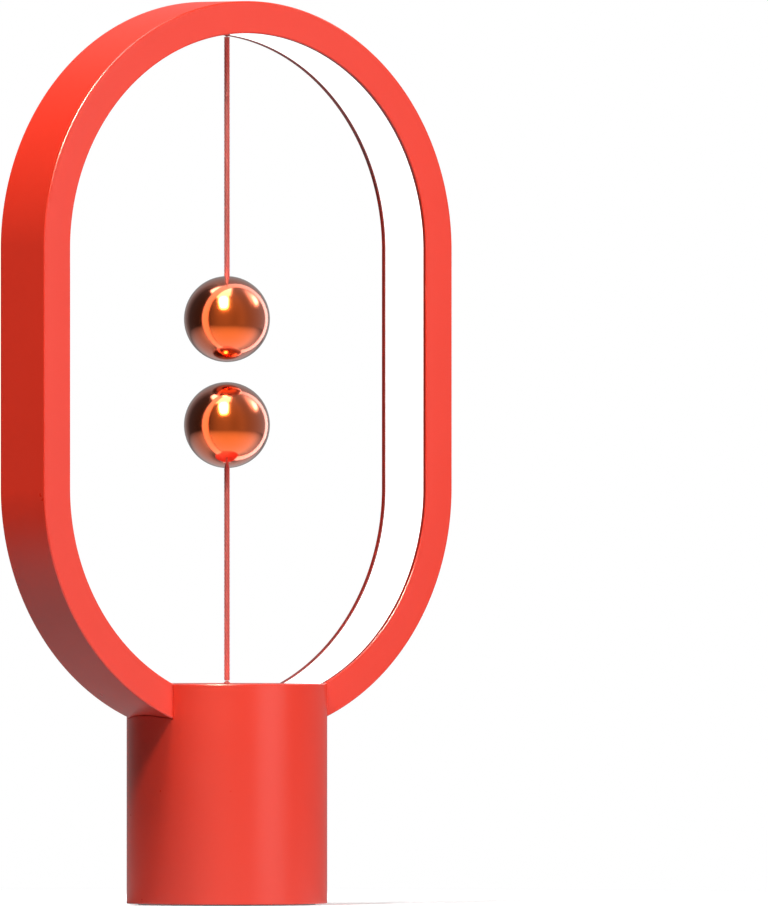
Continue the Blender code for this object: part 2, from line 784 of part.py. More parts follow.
def base():
    """The round base: its housing, top cap, grommet, bottom cover and foot."""
    ledge_top = cap_bottom - seat_gap
    ledge_inner = base_inner - ledge_width
    housing = turned(
        "base_housing",
        [
            (base_inner, base_height),
            (base_radius - base_chamfer, base_height),
            (base_radius, base_height - base_chamfer),
            (base_radius, base_lift + base_chamfer),
            (base_radius - base_chamfer, base_lift),
            (base_inner, base_lift),
            (base_inner, ledge_top - ledge_height - ledge_width),
            (ledge_inner, ledge_top - ledge_height),
            (ledge_inner, ledge_top),
            (base_inner, ledge_top),
        ],
        red_plastic,
    )
    boss_places = []
    boss_bottom = ballast_z
    for i in range(boss_count):
        angle = math.pi / boss_count + 2 * math.pi * i / boss_count
        boss_places.append(
            (boss_centre_radius * math.cos(angle), boss_centre_radius * math.sin(angle))
        )
        boss = rod(
            f"boss_{i}",
            boss_radius,
            boss_bottom,
            boss_bottom + boss_height,
            None,
            collection=cutters,
            place=boss_places[-1],
        )
        rib = box(
            f"boss_rib_{i}",
            (boss_centre_radius, -boss_rib_width / 2, boss_bottom + joint_overlap),
            (base_inner + joint_overlap, boss_rib_width / 2, boss_bottom + boss_height - joint_overlap),
            None,
            cutters,
        )
        place = Matrix.Rotation(angle, 4, "Z") @ Matrix.Translation(rib.location)
        rib.location = place.translation
        rib.rotation_euler.z = angle
        pilot = rod(
            f"boss_pilot_{i}",
            boss_screw_radius + seat_gap,
            boss_bottom - overrun,
            boss_bottom + boss_screw_length,
            None,
            collection=cutters,
            place=boss_places[-1],
        )
        join(housing, rib, boss)
        cut(housing, pilot)
    notch = full_oval("ring_notch", ring_radius + seat_gap, ring_half + seat_gap)
    slot = plate(
        "socket_slot",
        stadium(socket_width / 2 + seat_gap, socket_height / 2 + seat_gap),
        base_wall + overrun,
        None,
        collection=cutters,
    )
    slot.matrix_world = socket_frame() @ Matrix.Translation((0.0, base_radius, socket_z))
    cut(housing, notch, slot)

    cap_radius = base_inner - seat_gap
    cap = turned(
        "base_top_cap",
        [
            (grommet_radius + seat_gap, base_height),
            (cap_radius, base_height),
            (cap_radius, cap_bottom),
            (grommet_radius + seat_gap, cap_bottom),
        ],
        red_plastic,
    )
    passing_section = [
        (ring_inner - seat_gap, -ring_half - seat_gap),
        (ring_inner - seat_gap, ring_half + seat_gap),
        (ring_radius + seat_gap, ring_half + seat_gap),
        (ring_radius + seat_gap, -ring_half - seat_gap),
    ]
    passing = oval_sweep("ring_passing", passing_section, None, collection=cutters)
    cut(cap, passing)
    reach = math.sqrt((ring_inner - seat_gap) ** 2 - (arc_low_z - base_height + cap_edge) ** 2)
    side_half = ring_half + 2 * seat_gap
    for side, side_name in sides:
        ends = sorted((side * reach, side * (base_radius + overrun)))
        notch = box(
            f"cap_notch_{side_name}",
            (ends[0], -side_half, cap_bottom - overrun),
            (ends[1], side_half, base_height + overrun),
            None,
            cutters,
        )
        cut(cap, notch)

    bore = rod_radius + seat_gap
    turned(
        "cord_grommet",
        [
            (grommet_mouth_radius, base_height),
            (grommet_radius, base_height),
            (grommet_radius, cap_bottom - seat_gap),
            (grommet_flange_radius, cap_bottom - seat_gap),
            (grommet_flange_radius, cap_bottom - seat_gap - grommet_flange),
            (bore, cap_bottom - seat_gap - grommet_flange),
            (bore, base_height - grommet_mouth_depth),
        ],
        red_plastic,
        small_steps,
    )

    cover_top = bottom_cover_z + bottom_thickness
    cover = rod(
        "bottom_cover", base_inner - seat_gap, bottom_cover_z, cover_top, black_plastic, turn_steps
    )
    screw_profile = [
        (0.0, boss_bottom + boss_screw_length - 2 * seat_gap),
        (boss_screw_radius, boss_bottom + boss_screw_length - 2 * seat_gap),
        (boss_screw_radius, bottom_cover_z + boss_screw_head),
        (boss_screw_head_radius, bottom_cover_z + boss_screw_head),
        (boss_screw_head_radius, bottom_cover_z),
        (0.0, bottom_cover_z),
    ]
    for i, place in enumerate(boss_places):
        turned(
            f"bottom_screw_{i + 1}", screw_profile, dull_steel, small_steps, place=(*place, 0.0)
        )
        hole = turned(
            f"bottom_screw_hole_{i}",
            [
                (0.0, cover_top + overrun),
                (boss_screw_radius + seat_gap, cover_top + overrun),
                (boss_screw_radius + seat_gap, bottom_cover_z + boss_screw_head + seat_gap),
                (boss_screw_head_radius + seat_gap, bottom_cover_z + boss_screw_head + seat_gap),
                (boss_screw_head_radius + seat_gap, bottom_cover_z - overrun),
                (0.0, bottom_cover_z - overrun),
            ],
            None,
            small_steps,
            cutters,
            (*place, 0.0),
        )
        cut(cover, hole)
    turned(
        "foot_pad",
        [
            (0.0, foot_thickness),
            (foot_radius, foot_thickness),
            (foot_radius, foot_chamfer),
            (foot_radius - foot_chamfer, 0.0),
            (0.0, 0.0),
        ],
        black_rubber,
    )


def bracket(rod_hole, screw_holes, wire_hole):
    """The bracket under the ring, the ballast it stands on, and the screws that hold both."""
    top_radius = ring_radius + seat_gap
    reach = math.asin(bracket_half_width / top_radius)
    crown = arc(
        (0.0, arc_low_z), top_radius, -math.pi / 2 - reach, -math.pi / 2 + reach, arc_steps
    )
    outline = crown + [
        (bracket_half_width, leg_bottom),
        (bracket_inner, leg_bottom),
        (bracket_inner, arch_underside),
        (-bracket_inner, arch_underside),
        (-bracket_inner, leg_bottom),
        (-bracket_half_width, leg_bottom),
    ]
    arch = plate("frame_bracket", outline, bracket_half_depth, dull_steel)
    cut(arch, rod_hole, *screw_holes, wire_hole)
    ballast = rod("ballast", ballast_radius, ballast_z, ballast_top, dull_steel, turn_steps)
    leg_middle = bracket_half_width - bracket_leg / 2
    shank_top = leg_bottom + bracket_screw_length
    head_top = ballast_z + bracket_screw_head
    for side, side_name in sides:
        place = (side * leg_middle, 0.0, 0.0)
        turned(
            f"bracket_screw_{side_name}",
            [
                (0.0, shank_top),
                (bracket_screw_radius, shank_top),
                (bracket_screw_radius, head_top),
                (bracket_screw_head_radius, head_top),
                (bracket_screw_head_radius, ballast_z),
                (0.0, ballast_z),
            ],
            dull_steel,
            small_steps,
            place=place,
        )
        hole = turned(
            f"bracket_screw_hole_{side_name}",
            [
                (0.0, shank_top + seat_gap),
                (bracket_screw_radius + seat_gap, shank_top + seat_gap),
                (bracket_screw_radius + seat_gap, head_top + seat_gap),
                (bracket_screw_head_radius + seat_gap, head_top + seat_gap),
                (bracket_screw_head_radius + seat_gap, ballast_z - overrun),
                (0.0, ballast_z - overrun),
            ],
            None,
            small_steps,
            cutters,
            place,
        )
        cut(arch, hole)
        cut(ballast, hole)

    head_bottom = arch_underside - seat_gap - frame_screw_head
    reach_top = arc_low_z - nut_plate_radius + nut_plate_thickness + frame_screw_reach
    for side, side_name in sides:
        turned(
            f"frame_screw_{side_name}",
            [
                (0.0, reach_top),
                (frame_screw_radius, reach_top),
                (frame_screw_radius, arch_underside - seat_gap),
                (frame_screw_head_radius, arch_underside - seat_gap),
                (frame_screw_head_radius, head_bottom),
                (0.0, head_bottom),
            ],
            dull_steel,
            small_steps,
            place=(side * frame_screw_offset, 0.0, 0.0),
        )


def socket_frame():
    """The turn that the board, the socket and the plug share about the base's axis."""
    return Matrix.Rotation(-socket_angle, 4, "Z")


def turned_with_socket(obj):
    """Places a piece that was made straight back of the axis in the socket's direction."""
    bpy.context.view_layer.update()
    obj.matrix_world = socket_frame() @ obj.matrix_world
    return obj


def slot_tube(name, half_width, half_height, wall, length, back, material):
    """A flat tube with round sides along Y from the origin, closed at its far end."""
    body = plate(name, stadium(half_width, half_height), length / 2, material)
    hollow = plate(
        f"{name}_hollow",
        stadium(half_width - wall, half_height - wall),
        (length - back + overrun) / 2,
        None,
        collection=cutters,
    )
    return body, hollow


def electrics():
    """The driver board with its parts, and the charging socket at its back edge."""
    board_top = board_z + board_thickness
    board = box(
        "driver_board",
        (-board_half_width, -board_front, board_z),
        (board_half_width, board_back, board_top),
        circuit_board,
    )
    turned_with_socket(board)
    for side, side_name in sides:
        for y, end_name in ((-standoff_front, "front"), (standoff_back, "back")):
            post = rod(
                f"board_standoff_{end_name}_{side_name}",
                standoff_radius,
                leg_bottom,
                leg_bottom + standoff_height,
                brass_sheet,
                small_steps,
                place=(side * standoff_half_spacing, y),
            )
            turned_with_socket(post)

    seat = board_top - board_thickness / 2
    offset = component_offset
    half = component_half
    top = board_top + component_height
    parts = [
        box("chip", (-half, -half, seat), (half, half, board_top + chip_height), None, cutters),
        box("inductor", (offset - half, -half, seat), (offset + half, half, top), None, cutters),
        rod(
            "capacitor",
            capacitor_radius,
            seat,
            board_top + capacitor_height,
            None,
            collection=cutters,
            place=(-offset, offset),
        ),
        box(
            "connector",
            (-offset - half, -offset - half, seat),
            (-offset + half, -offset, top),
            None,
            cutters,
        ),
    ]
    join(board, *[turned_with_socket(part) for part in parts])

    mouth = base_radius - socket_inset
    middle = mouth - socket_length / 2
    body, hollow = slot_tube(
        "usb_socket",
        socket_width / 2,
        socket_height / 2,
        socket_wall,
        socket_length,
        socket_back,
        bright_steel,
    )
    body.matrix_world = socket_frame() @ Matrix.Translation((0.0, middle, socket_z))
    hollow.matrix_world = socket_frame() @ Matrix.Translation(
        (0.0, middle + (socket_back + overrun) / 2, socket_z)
    )
    cut(body, hollow)
    tongue_back = mouth - socket_length + socket_back + seat_gap
    tongue = box(
        "usb_socket_tongue",
        (-socket_tongue_width / 2, tongue_back, socket_z - socket_tongue_height / 2),
        (
            socket_tongue_width / 2,
            tongue_back + socket_tongue_length,
            socket_z + socket_tongue_height / 2,
        ),
        black_plastic,
    )
    turned_with_socket(tongue)


def wires():
    """The two wires from the board's connector up through the bracket to the strip's end."""
    high = strip_radius - strip_thickness - 2 * wire_radius
    bend_angle = wire_end_angle * wire_bend_share
    connector_top = board_z + board_thickness + component_height
    route = [
        (-wire_offset, connector_top + seat_gap + wire_radius),
        (-wire_offset, connector_top + (arch_underside - connector_top) / 2),
        (-wire_offset, arch_underside),
        (-wire_offset, arc_low_z - ring_radius + ring_wall),
        (-wire_offset - wire_radius, arc_low_z - high * math.cos(wire_end_angle / 2)),
        (-high * math.sin(bend_angle), arc_low_z - high * math.cos(bend_angle)),
        (-high * math.sin(wire_end_angle), arc_low_z - high * math.cos(wire_end_angle)),
    ]
    for side, side_name, material in ((-1, "front", red_plastic), (1, "back", black_plastic)):
        points = [(x, side * wire_half_spacing, z) for x, z in route]
        run = smooth_points(points, wire_point_spacing)
        tube(f"led_wire_{side_name}", run, wire_radius, material, 1)


def pull_switch():
    """The switch under the ring: its housing, contacts, sprung rod and spring."""
    housing = box(
        "switch_housing",
        (-switch_half_width, -switch_half_width, switch_top_z - switch_height),
        (switch_half_width, switch_half_width, switch_top_z),
        black_plastic,
    )
    inner = switch_half_width - switch_wall
    hollow = box(
        "switch_hollow",
        (-inner, -inner, switch_top_z - switch_height - overrun),
        (inner, inner, guide_bottom),
        None,
        cutters,
    )
    guide = rod(
        "switch_guide",
        rod_radius + seat_gap,
        guide_bottom - overrun,
        switch_top_z + overrun,
        None,
        collection=cutters,
    )
    cut(housing, hollow, guide)
    turned(
        "pull_rod",
        [
            (0.0, rod_top),
            (rod_radius, rod_top),
            (rod_radius, collar_top),
            (rod_collar_radius, collar_top),
            (rod_collar_radius, collar_top - rod_collar_height),
            (rod_radius, collar_top - rod_collar_height),
            (rod_radius, rod_bottom),
            (0.0, rod_bottom),
        ],
        white_plastic,
        small_steps,
    )
    points = []
    steps = spring_turns * spring_points_per_turn
    low = collar_top + seat_gap + spring_wire_radius
    climb = spring_length - 2 * spring_wire_radius
    for i in range(steps + 1):
        turn = 2 * math.pi * spring_turns * i / steps
        points.append(
            (
                spring_radius * math.cos(turn),
                spring_radius * math.sin(turn),
                low + climb * i / steps,
            )
        )
    tube("switch_spring", points, spring_wire_radius, bright_steel, 1)
    tip = rod_collar_radius - contact_reach
    low = collar_top + seat_gap
    outer = inner - seat_gap
    for side, side_name in sides:
        plate(
            f"switch_contact_{side_name}",
            [
                (side * tip, low),
                (side * (outer - contact_thickness), low),
                (side * (outer - contact_thickness), low - contact_drop),
                (side * outer, low - contact_drop),
                (side * outer, low + contact_thickness),
                (side * tip, low + contact_thickness),
            ],
            contact_width / 2,
            brass_sheet,
        )


def balls():
    """Both balls with what they hold, their cords, and the beads that they swing on."""
    for name, height, pivot, up in (
        ("upper", upper_ball_z, upper_pivot_z, 1.0),
        ("lower", lower_ball_z, lower_pivot_z, -1.0),
    ):
        shell = turned(f"{name}_ball_shell", ball_profile(), copper_plate, ball_steps)
        shell.location = (0.0, 0.0, height)
        if up < 0.0:
            shell.rotation_euler.x = math.pi
        magnet_face = ball_radius - magnet_floor - seat_gap
        faces = sorted((height - up * magnet_face, height - up * (magnet_face - magnet_height)))
        rod(f"{name}_magnet", magnet_radius, *faces, bright_steel)
        stop_face = math.sqrt(ball_inner**2 - cord_stop_radius**2) - seat_gap
        faces = sorted((height + up * stop_face, height + up * (stop_face - cord_stop_height)))
        rod(f"{name}_cord_stop", cord_stop_radius, *faces, brass_sheet)
        ends = sorted((pivot - up * cord_start, height + up * (stop_face + seat_gap)))
        rod(f"{name}_cord", cord_radius, *ends, red_cord, cord_steps)
        turned(
            f"{name}_bead",
            [(0.0, bead_radius)]
            + [
                (bead_radius * math.sin(turn), bead_radius * math.cos(turn))
                for turn in [math.pi * i / bead_rings for i in range(1, bead_rings)]
            ]
            + [(0.0, -bead_radius)],
            red_cord,
            cord_steps,
            place=(0.0, 0.0, pivot),
        )


def ball_profile():
    """A hollow ball with its cord's bore at the top and a pocket for the magnet at the bottom."""
    bore = cord_radius + seat_gap
    pocket = magnet_radius + seat_gap
    rib = pocket + magnet_pocket_wall
    floor = -(ball_radius - magnet_floor)
    rib_top = floor + magnet_height + seat_gap
    rings = ball_steps // 2
    start = math.acos(-math.sqrt(ball_inner**2 - rib**2) / ball_inner)
    stop = math.asin(bore / ball_inner)
    inner_steps = rings * 2 // 3
    inside = [start + (stop - start) * i / inner_steps for i in range(inner_steps + 1)]
    first = math.asin(bore / ball_radius)
    outside = [first + (math.pi - first) * i / rings for i in range(rings)]
    return (
        [(0.0, floor), (pocket, floor), (pocket, rib_top), (rib, rib_top)]
        + [(ball_inner * math.sin(turn), ball_inner * math.cos(turn)) for turn in inside]
        + [(ball_radius * math.sin(turn), ball_radius * math.cos(turn)) for turn in outside]
        + [(0.0, -ball_radius)]
    )


def coil_place(turn):
    """The middle of the lead at a turn of the coil, which winds clockwise seen from above.

    The turns spiral in and out again at a steady rate, and climb a layer in the half turn where
    the spiral reverses.
    """
    layer_turn = 2 * math.pi * coil_turns_per_layer
    layer = min(coil_layers - 1, int(turn / layer_turn))
    share = turn / layer_turn - layer
    width = lead_pitch * coil_turns_per_layer
    inward = share if layer % 2 == 0 else 1.0 - share
    radius = coil_mean_radius + width / 2 - width * inward
    level = 0.0
    for k in range(1, coil_layers):
        t = (turn - k * layer_turn) / math.pi + 1 / 2
        t = min(1.0, max(0.0, t))
        level += t * t * (3 - 2 * t)
    angle = coil_start_angle - turn
    return Vector(
        (
            coil_centre[0] + radius * math.cos(angle),
            coil_centre[1] + radius * math.sin(angle),
            coil_floor + level * lead_pitch,
        )
    )


def coil_points():
    """The coil's own points, with a straight run of one diameter at each end."""
    whole = 2 * math.pi * coil_turns_per_layer * coil_layers
    count = round(coil_turns_per_layer * coil_layers * coil_points_per_turn)
    points = [coil_place(whole * i / count) for i in range(count + 1)]
    first_run = (points[0] - points[1]).normalized() * lead_diameter
    last_run = (points[-1] - points[-2]).normalized() * lead_diameter
    return [points[0] + first_run, *points, points[-1] + last_run]


def least_gap(points, diameter):
    """The least distance between the surface of a tube along these points and itself."""
    fine = even_points([Vector(point) for point in points], diameter / gap_samples)
    neighbours = gap_samples**2
    tree = KDTree(len(fine))
    for i, point in enumerate(fine):
        tree.insert(point, i)
    tree.balance()
    least = diameter * 2
    for i, point in enumerate(fine):
        for _, j, distance in tree.find_range(point, diameter * 2):
            if abs(i - j) > neighbours:
                least = min(least, distance)
    return least - diameter


def tail_points(start, heading):
    """From the coil's end up over its top layer and round to the long plug's collar.

    The run first follows the coil's outer edge while it climbs, then turns in over the turns.
    """
    fine = []
    place = start.copy()
    angle = math.atan2(heading.y, heading.x)
    legs = ((coil_mean_radius + lead_pitch, tail_edge_angle), (tail_radius, tail_turn_angle))
    whole = sum(radius * turn for radius, turn in legs)
    travelled = 0.0
    for radius, turn in legs:
        for i in range(tail_steps):
            step = radius * turn / tail_steps
            angle -= turn / tail_steps
            travelled += step
            t = travelled / whole
            place = place + Vector((math.cos(angle), math.sin(angle), 0.0)) * step
            place.z = start.z + tail_climb * t * t * (3 - 2 * t)
            fine.append(place.copy())
    ahead = Vector((math.cos(angle), math.sin(angle), 0.0))
    fine.append(place + ahead * lead_diameter)
    return [start, *fine], ahead


def lead():
    """The charging lead: plug, collar, the run to the floor, the coil, its tie and the long plug."""
    front = base_radius + seat_gap
    face = base_radius - socket_inset - plug_reach
    body, hollow = slot_tube(
        "usb_c_shell",
        usb_c_width / 2,
        usb_c_height / 2,
        usb_c_wall,
        front - face,
        front - face - usb_c_hollow,
        bright_steel,
    )
    body.matrix_world = socket_frame() @ Matrix.Translation((0.0, (front + face) / 2, socket_z))
    hollow.matrix_world = socket_frame() @ Matrix.Translation(
        (0.0, face + usb_c_hollow / 2 - overrun / 2, socket_z)
    )
    cut(body, hollow)
    frame = socket_frame() @ Matrix.Translation((0.0, 0.0, socket_z))
    start = front + seat_gap
    overmould("usb_c_overmould", overmould_c, frame, start)
    collar_start = start + overmould_c[1] + seat_gap
    lead_start = collar_start + collar_length + seat_gap
    collar("usb_c_collar", frame, collar_start)

    first = frame @ Vector((0.0, lead_start, 0.0))
    heading = (frame @ Vector((0.0, 1.0, 0.0)) - frame.translation).normalized()
    coil = coil_points()
    coil_way = (coil[1] - coil[0]).normalized()
    last = coil[0] - coil_way * seat_gap
    leaving = first + heading * lead_diameter
    arriving = last + coil_way * -lead_diameter
    points = [first, *smooth_points([leaving, *lead_route, arriving], 2 * lead_diameter), last]
    tube("charging_lead", points, lead_diameter / 2, white_plastic)
    tube("lead_coil", coil, lead_diameter / 2, white_plastic, 1)
    print("lead_coil least gap", round(least_gap(coil, lead_diameter) / MM, 2), "mm")
    tail_way = (coil[-1] - coil[-2]).normalized()
    tail_start = coil[-1] + tail_way * seat_gap
    tail, ahead = tail_points(tail_start, tail_way)
    tail_run = even_points(tail, 2 * lead_diameter)
    tube("lead_tail", tail_run, lead_diameter / 2, white_plastic)

    heading_turn = Vector((0.0, 1.0, 0.0)).rotation_difference(ahead)
    plug = Matrix.Translation(tail[-1]) @ heading_turn.to_matrix().to_4x4()
    collar("usb_a_collar", plug, seat_gap, flipped=True)
    long_plug(plug, 2 * seat_gap + collar_length)
    coil_tie()


def overmould(name, size, frame, start):
    """A plug's overmould along the frame's Y axis: a rounded section with square ends."""
    width, length, height = size
    corners = [
        (-width / 2, -height / 2),
        (width / 2, -height / 2),
        (width / 2, height / 2),
        (-width / 2, height / 2),
    ]
    section = rounded(corners, dict.fromkeys(range(4), overmould_round), end_steps)
    body = plate(name, section, length / 2, white_plastic)
    body.matrix_world = frame @ Matrix.Translation((0.0, start + length / 2, 0.0))
    return body


def collar(name, frame, start, flipped=False):
    """The tapered collar between an overmould and the lead, along the frame's Y axis."""
    radii = (collar_end_radius, collar_radius) if not flipped else (collar_radius, collar_end_radius)
    obj = turned(
        name,
        [
            (0.0, collar_length),
            (radii[0], collar_length),
            (radii[1], 0.0),
            (0.0, 0.0),
        ],
        white_plastic,
        small_steps,
    )
    obj.matrix_world = frame @ Matrix.Translation((0.0, start, 0.0)) @ Matrix.Rotation(
        math.radians(-90.0), 4, "X"
    )
    return obj


def long_plug(frame, start):
    """The long plug on the lead's far end: overmould, metal shell with its windows, and tongue."""
    overmould("usb_a_overmould", overmould_a, frame, start)
    shell_start = start + overmould_a[1] + seat_gap
    half_width = usb_a_width / 2
    half_height = usb_a_height / 2
    shell = box(
        "usb_a_shell",
        (-half_width, shell_start, -half_height),
        (half_width, shell_start + usb_a_length, half_height),
        bright_steel,
    )
    hollow = box(
        "usb_a_hollow",
        (-half_width + usb_a_wall, shell_start + usb_a_back, -half_height + usb_a_wall),
        (half_width - usb_a_wall, shell_start + usb_a_length + overrun, half_height - usb_a_wall),
        None,
        cutters,
    )
    windows = []
    for side in (-1, 1):
        middle = shell_start + usb_a_length - usb_a_window_from_end - usb_a_window / 2
        windows.append(
            box(
                f"usb_a_window_{side:+d}",
                (
                    side * usb_a_window_offset - usb_a_window / 2,
                    middle - usb_a_window / 2,
                    -half_height - overrun,
                ),
                (
                    side * usb_a_window_offset + usb_a_window / 2,
                    middle + usb_a_window / 2,
                    half_height + overrun,
                ),
                None,
                cutters,
            )
        )
    tongue = box(
        "usb_a_tongue",
        (
            -half_width + usb_a_wall + socket_gap,
            shell_start + usb_a_back + socket_gap,
            half_height - usb_a_wall - socket_gap - usb_a_tongue_height,
        ),
        (
            half_width - usb_a_wall - socket_gap,
            shell_start + usb_a_length - usb_a_back,
            half_height - usb_a_wall - socket_gap,
        ),
        white_plastic,
    )
    bpy.context.view_layer.update()
    for obj in (shell, hollow, *windows, tongue):
        obj.matrix_world = frame @ obj.matrix_world
    cut(shell, hollow, *windows)


def coil_tie():
    """The strap round the bundle of turns."""
    width = lead_pitch * coil_turns_per_layer
    clear = lead_diameter / 2 + seat_gap
    low = coil_mean_radius - width / 2 - clear
    high = coil_mean_radius + width / 2 + clear
    top = coil_floor + lead_pitch * (coil_layers - 1) + clear
    bottom = tie_thickness
    outer = rounded(
        [
            (low - tie_thickness, bottom - tie_thickness),
            (high + tie_thickness, bottom - tie_thickness),
            (high + tie_thickness, top + tie_thickness),
            (low - tie_thickness, top + tie_thickness),
        ],
        dict.fromkeys(range(4), tie_round + tie_thickness),
    )
    hole = rounded(
        [(low, bottom), (high, bottom), (high, top), (low, top)], dict.fromkeys(range(4), tie_round)
    )
    strap = plate("coil_tie", outer, tie_width / 2, black_plastic, [hole])
    strap.matrix_world = (
        Matrix.Translation((*coil_centre, 0.0))
        @ Matrix.Rotation(coil_tie_angle, 4, "Z")
        @ strap.matrix_world
    )


def main():
    holes = ring()
    base()
    bracket(*holes)
    electrics()
    wires()
    pull_switch()
    balls()
    lead()


main()
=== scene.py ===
"""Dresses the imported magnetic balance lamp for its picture.

The lamp is an oval light ring that stands in a round base. One ball hangs from the ring's top, the
other is tied to the base, and the magnets in the two hold the lower ball up in the air.
Metres, +Z up. The base's axis is the Z axis, and the ring's front face looks along -Y.
"""

import json
import logging
import math
from dataclasses import dataclass, field
from enum import Enum
from typing import Callable, Iterable, Sequence

import bmesh
import bpy
from mathutils import Matrix, Vector


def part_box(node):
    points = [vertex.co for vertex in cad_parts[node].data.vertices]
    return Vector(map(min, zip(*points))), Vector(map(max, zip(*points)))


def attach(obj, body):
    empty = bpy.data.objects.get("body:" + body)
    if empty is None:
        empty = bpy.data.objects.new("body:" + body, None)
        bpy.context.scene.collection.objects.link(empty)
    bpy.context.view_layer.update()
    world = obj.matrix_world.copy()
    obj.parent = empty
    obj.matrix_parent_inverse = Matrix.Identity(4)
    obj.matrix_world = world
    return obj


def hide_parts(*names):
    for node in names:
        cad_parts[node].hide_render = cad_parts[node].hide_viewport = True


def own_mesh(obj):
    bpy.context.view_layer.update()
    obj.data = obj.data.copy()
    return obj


MM = 0.001
log = logging.getLogger("balance_lamp")

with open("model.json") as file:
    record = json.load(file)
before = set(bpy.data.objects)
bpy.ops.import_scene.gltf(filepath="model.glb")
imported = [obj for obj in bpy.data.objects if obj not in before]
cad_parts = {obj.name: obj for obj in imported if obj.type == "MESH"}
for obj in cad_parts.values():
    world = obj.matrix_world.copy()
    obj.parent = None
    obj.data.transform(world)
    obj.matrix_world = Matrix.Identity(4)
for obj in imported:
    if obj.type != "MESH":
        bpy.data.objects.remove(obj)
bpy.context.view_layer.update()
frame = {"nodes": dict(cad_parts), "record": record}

Section = Sequence[tuple[float, float]]


class Slot(Enum):
    """The record's material slots."""

    RED_PLASTIC = "red_plastic"
    RED_CORD = "red_cord"
    MILKY_PLASTIC = "milky_plastic"
    WHITE_PLASTIC = "white_plastic"
    COPPER_PLATE = "copper_plate"
    BRIGHT_STEEL = "bright_steel"
    DULL_STEEL = "dull_steel"
    BRASS_SHEET = "brass_sheet"
    BLACK_RUBBER = "black_rubber"
    BLACK_PLASTIC = "black_plastic"
    CIRCUIT_BOARD = "circuit_board"
    LED_STRIP_WHITE = "led_strip_white"


class Axis(Enum):
    """The direction of a turned piece's axis."""

    UP = "up"
    DEPTH = "depth"

    @property
    def way(self) -> Vector:
        """The axis as a unit vector."""
        return Vector((0.0, 0.0, 1.0)) if self is Axis.UP else Vector((0.0, 1.0, 0.0))

    @property
    def circle_turn(self) -> tuple[float, float, float]:
        """The turn that lays a new circle square to the axis."""
        return (0.0, 0.0, 0.0) if self is Axis.UP else (math.pi / 2, 0.0, 0.0)

    def spread(self, scale: float) -> tuple[float, float, float]:
        """A scale across the axis that leaves the length along it."""
        return (scale, scale, 1.0) if self is Axis.UP else (scale, 1.0, scale)


# ---------------------------------------------------------------- modelling by hand


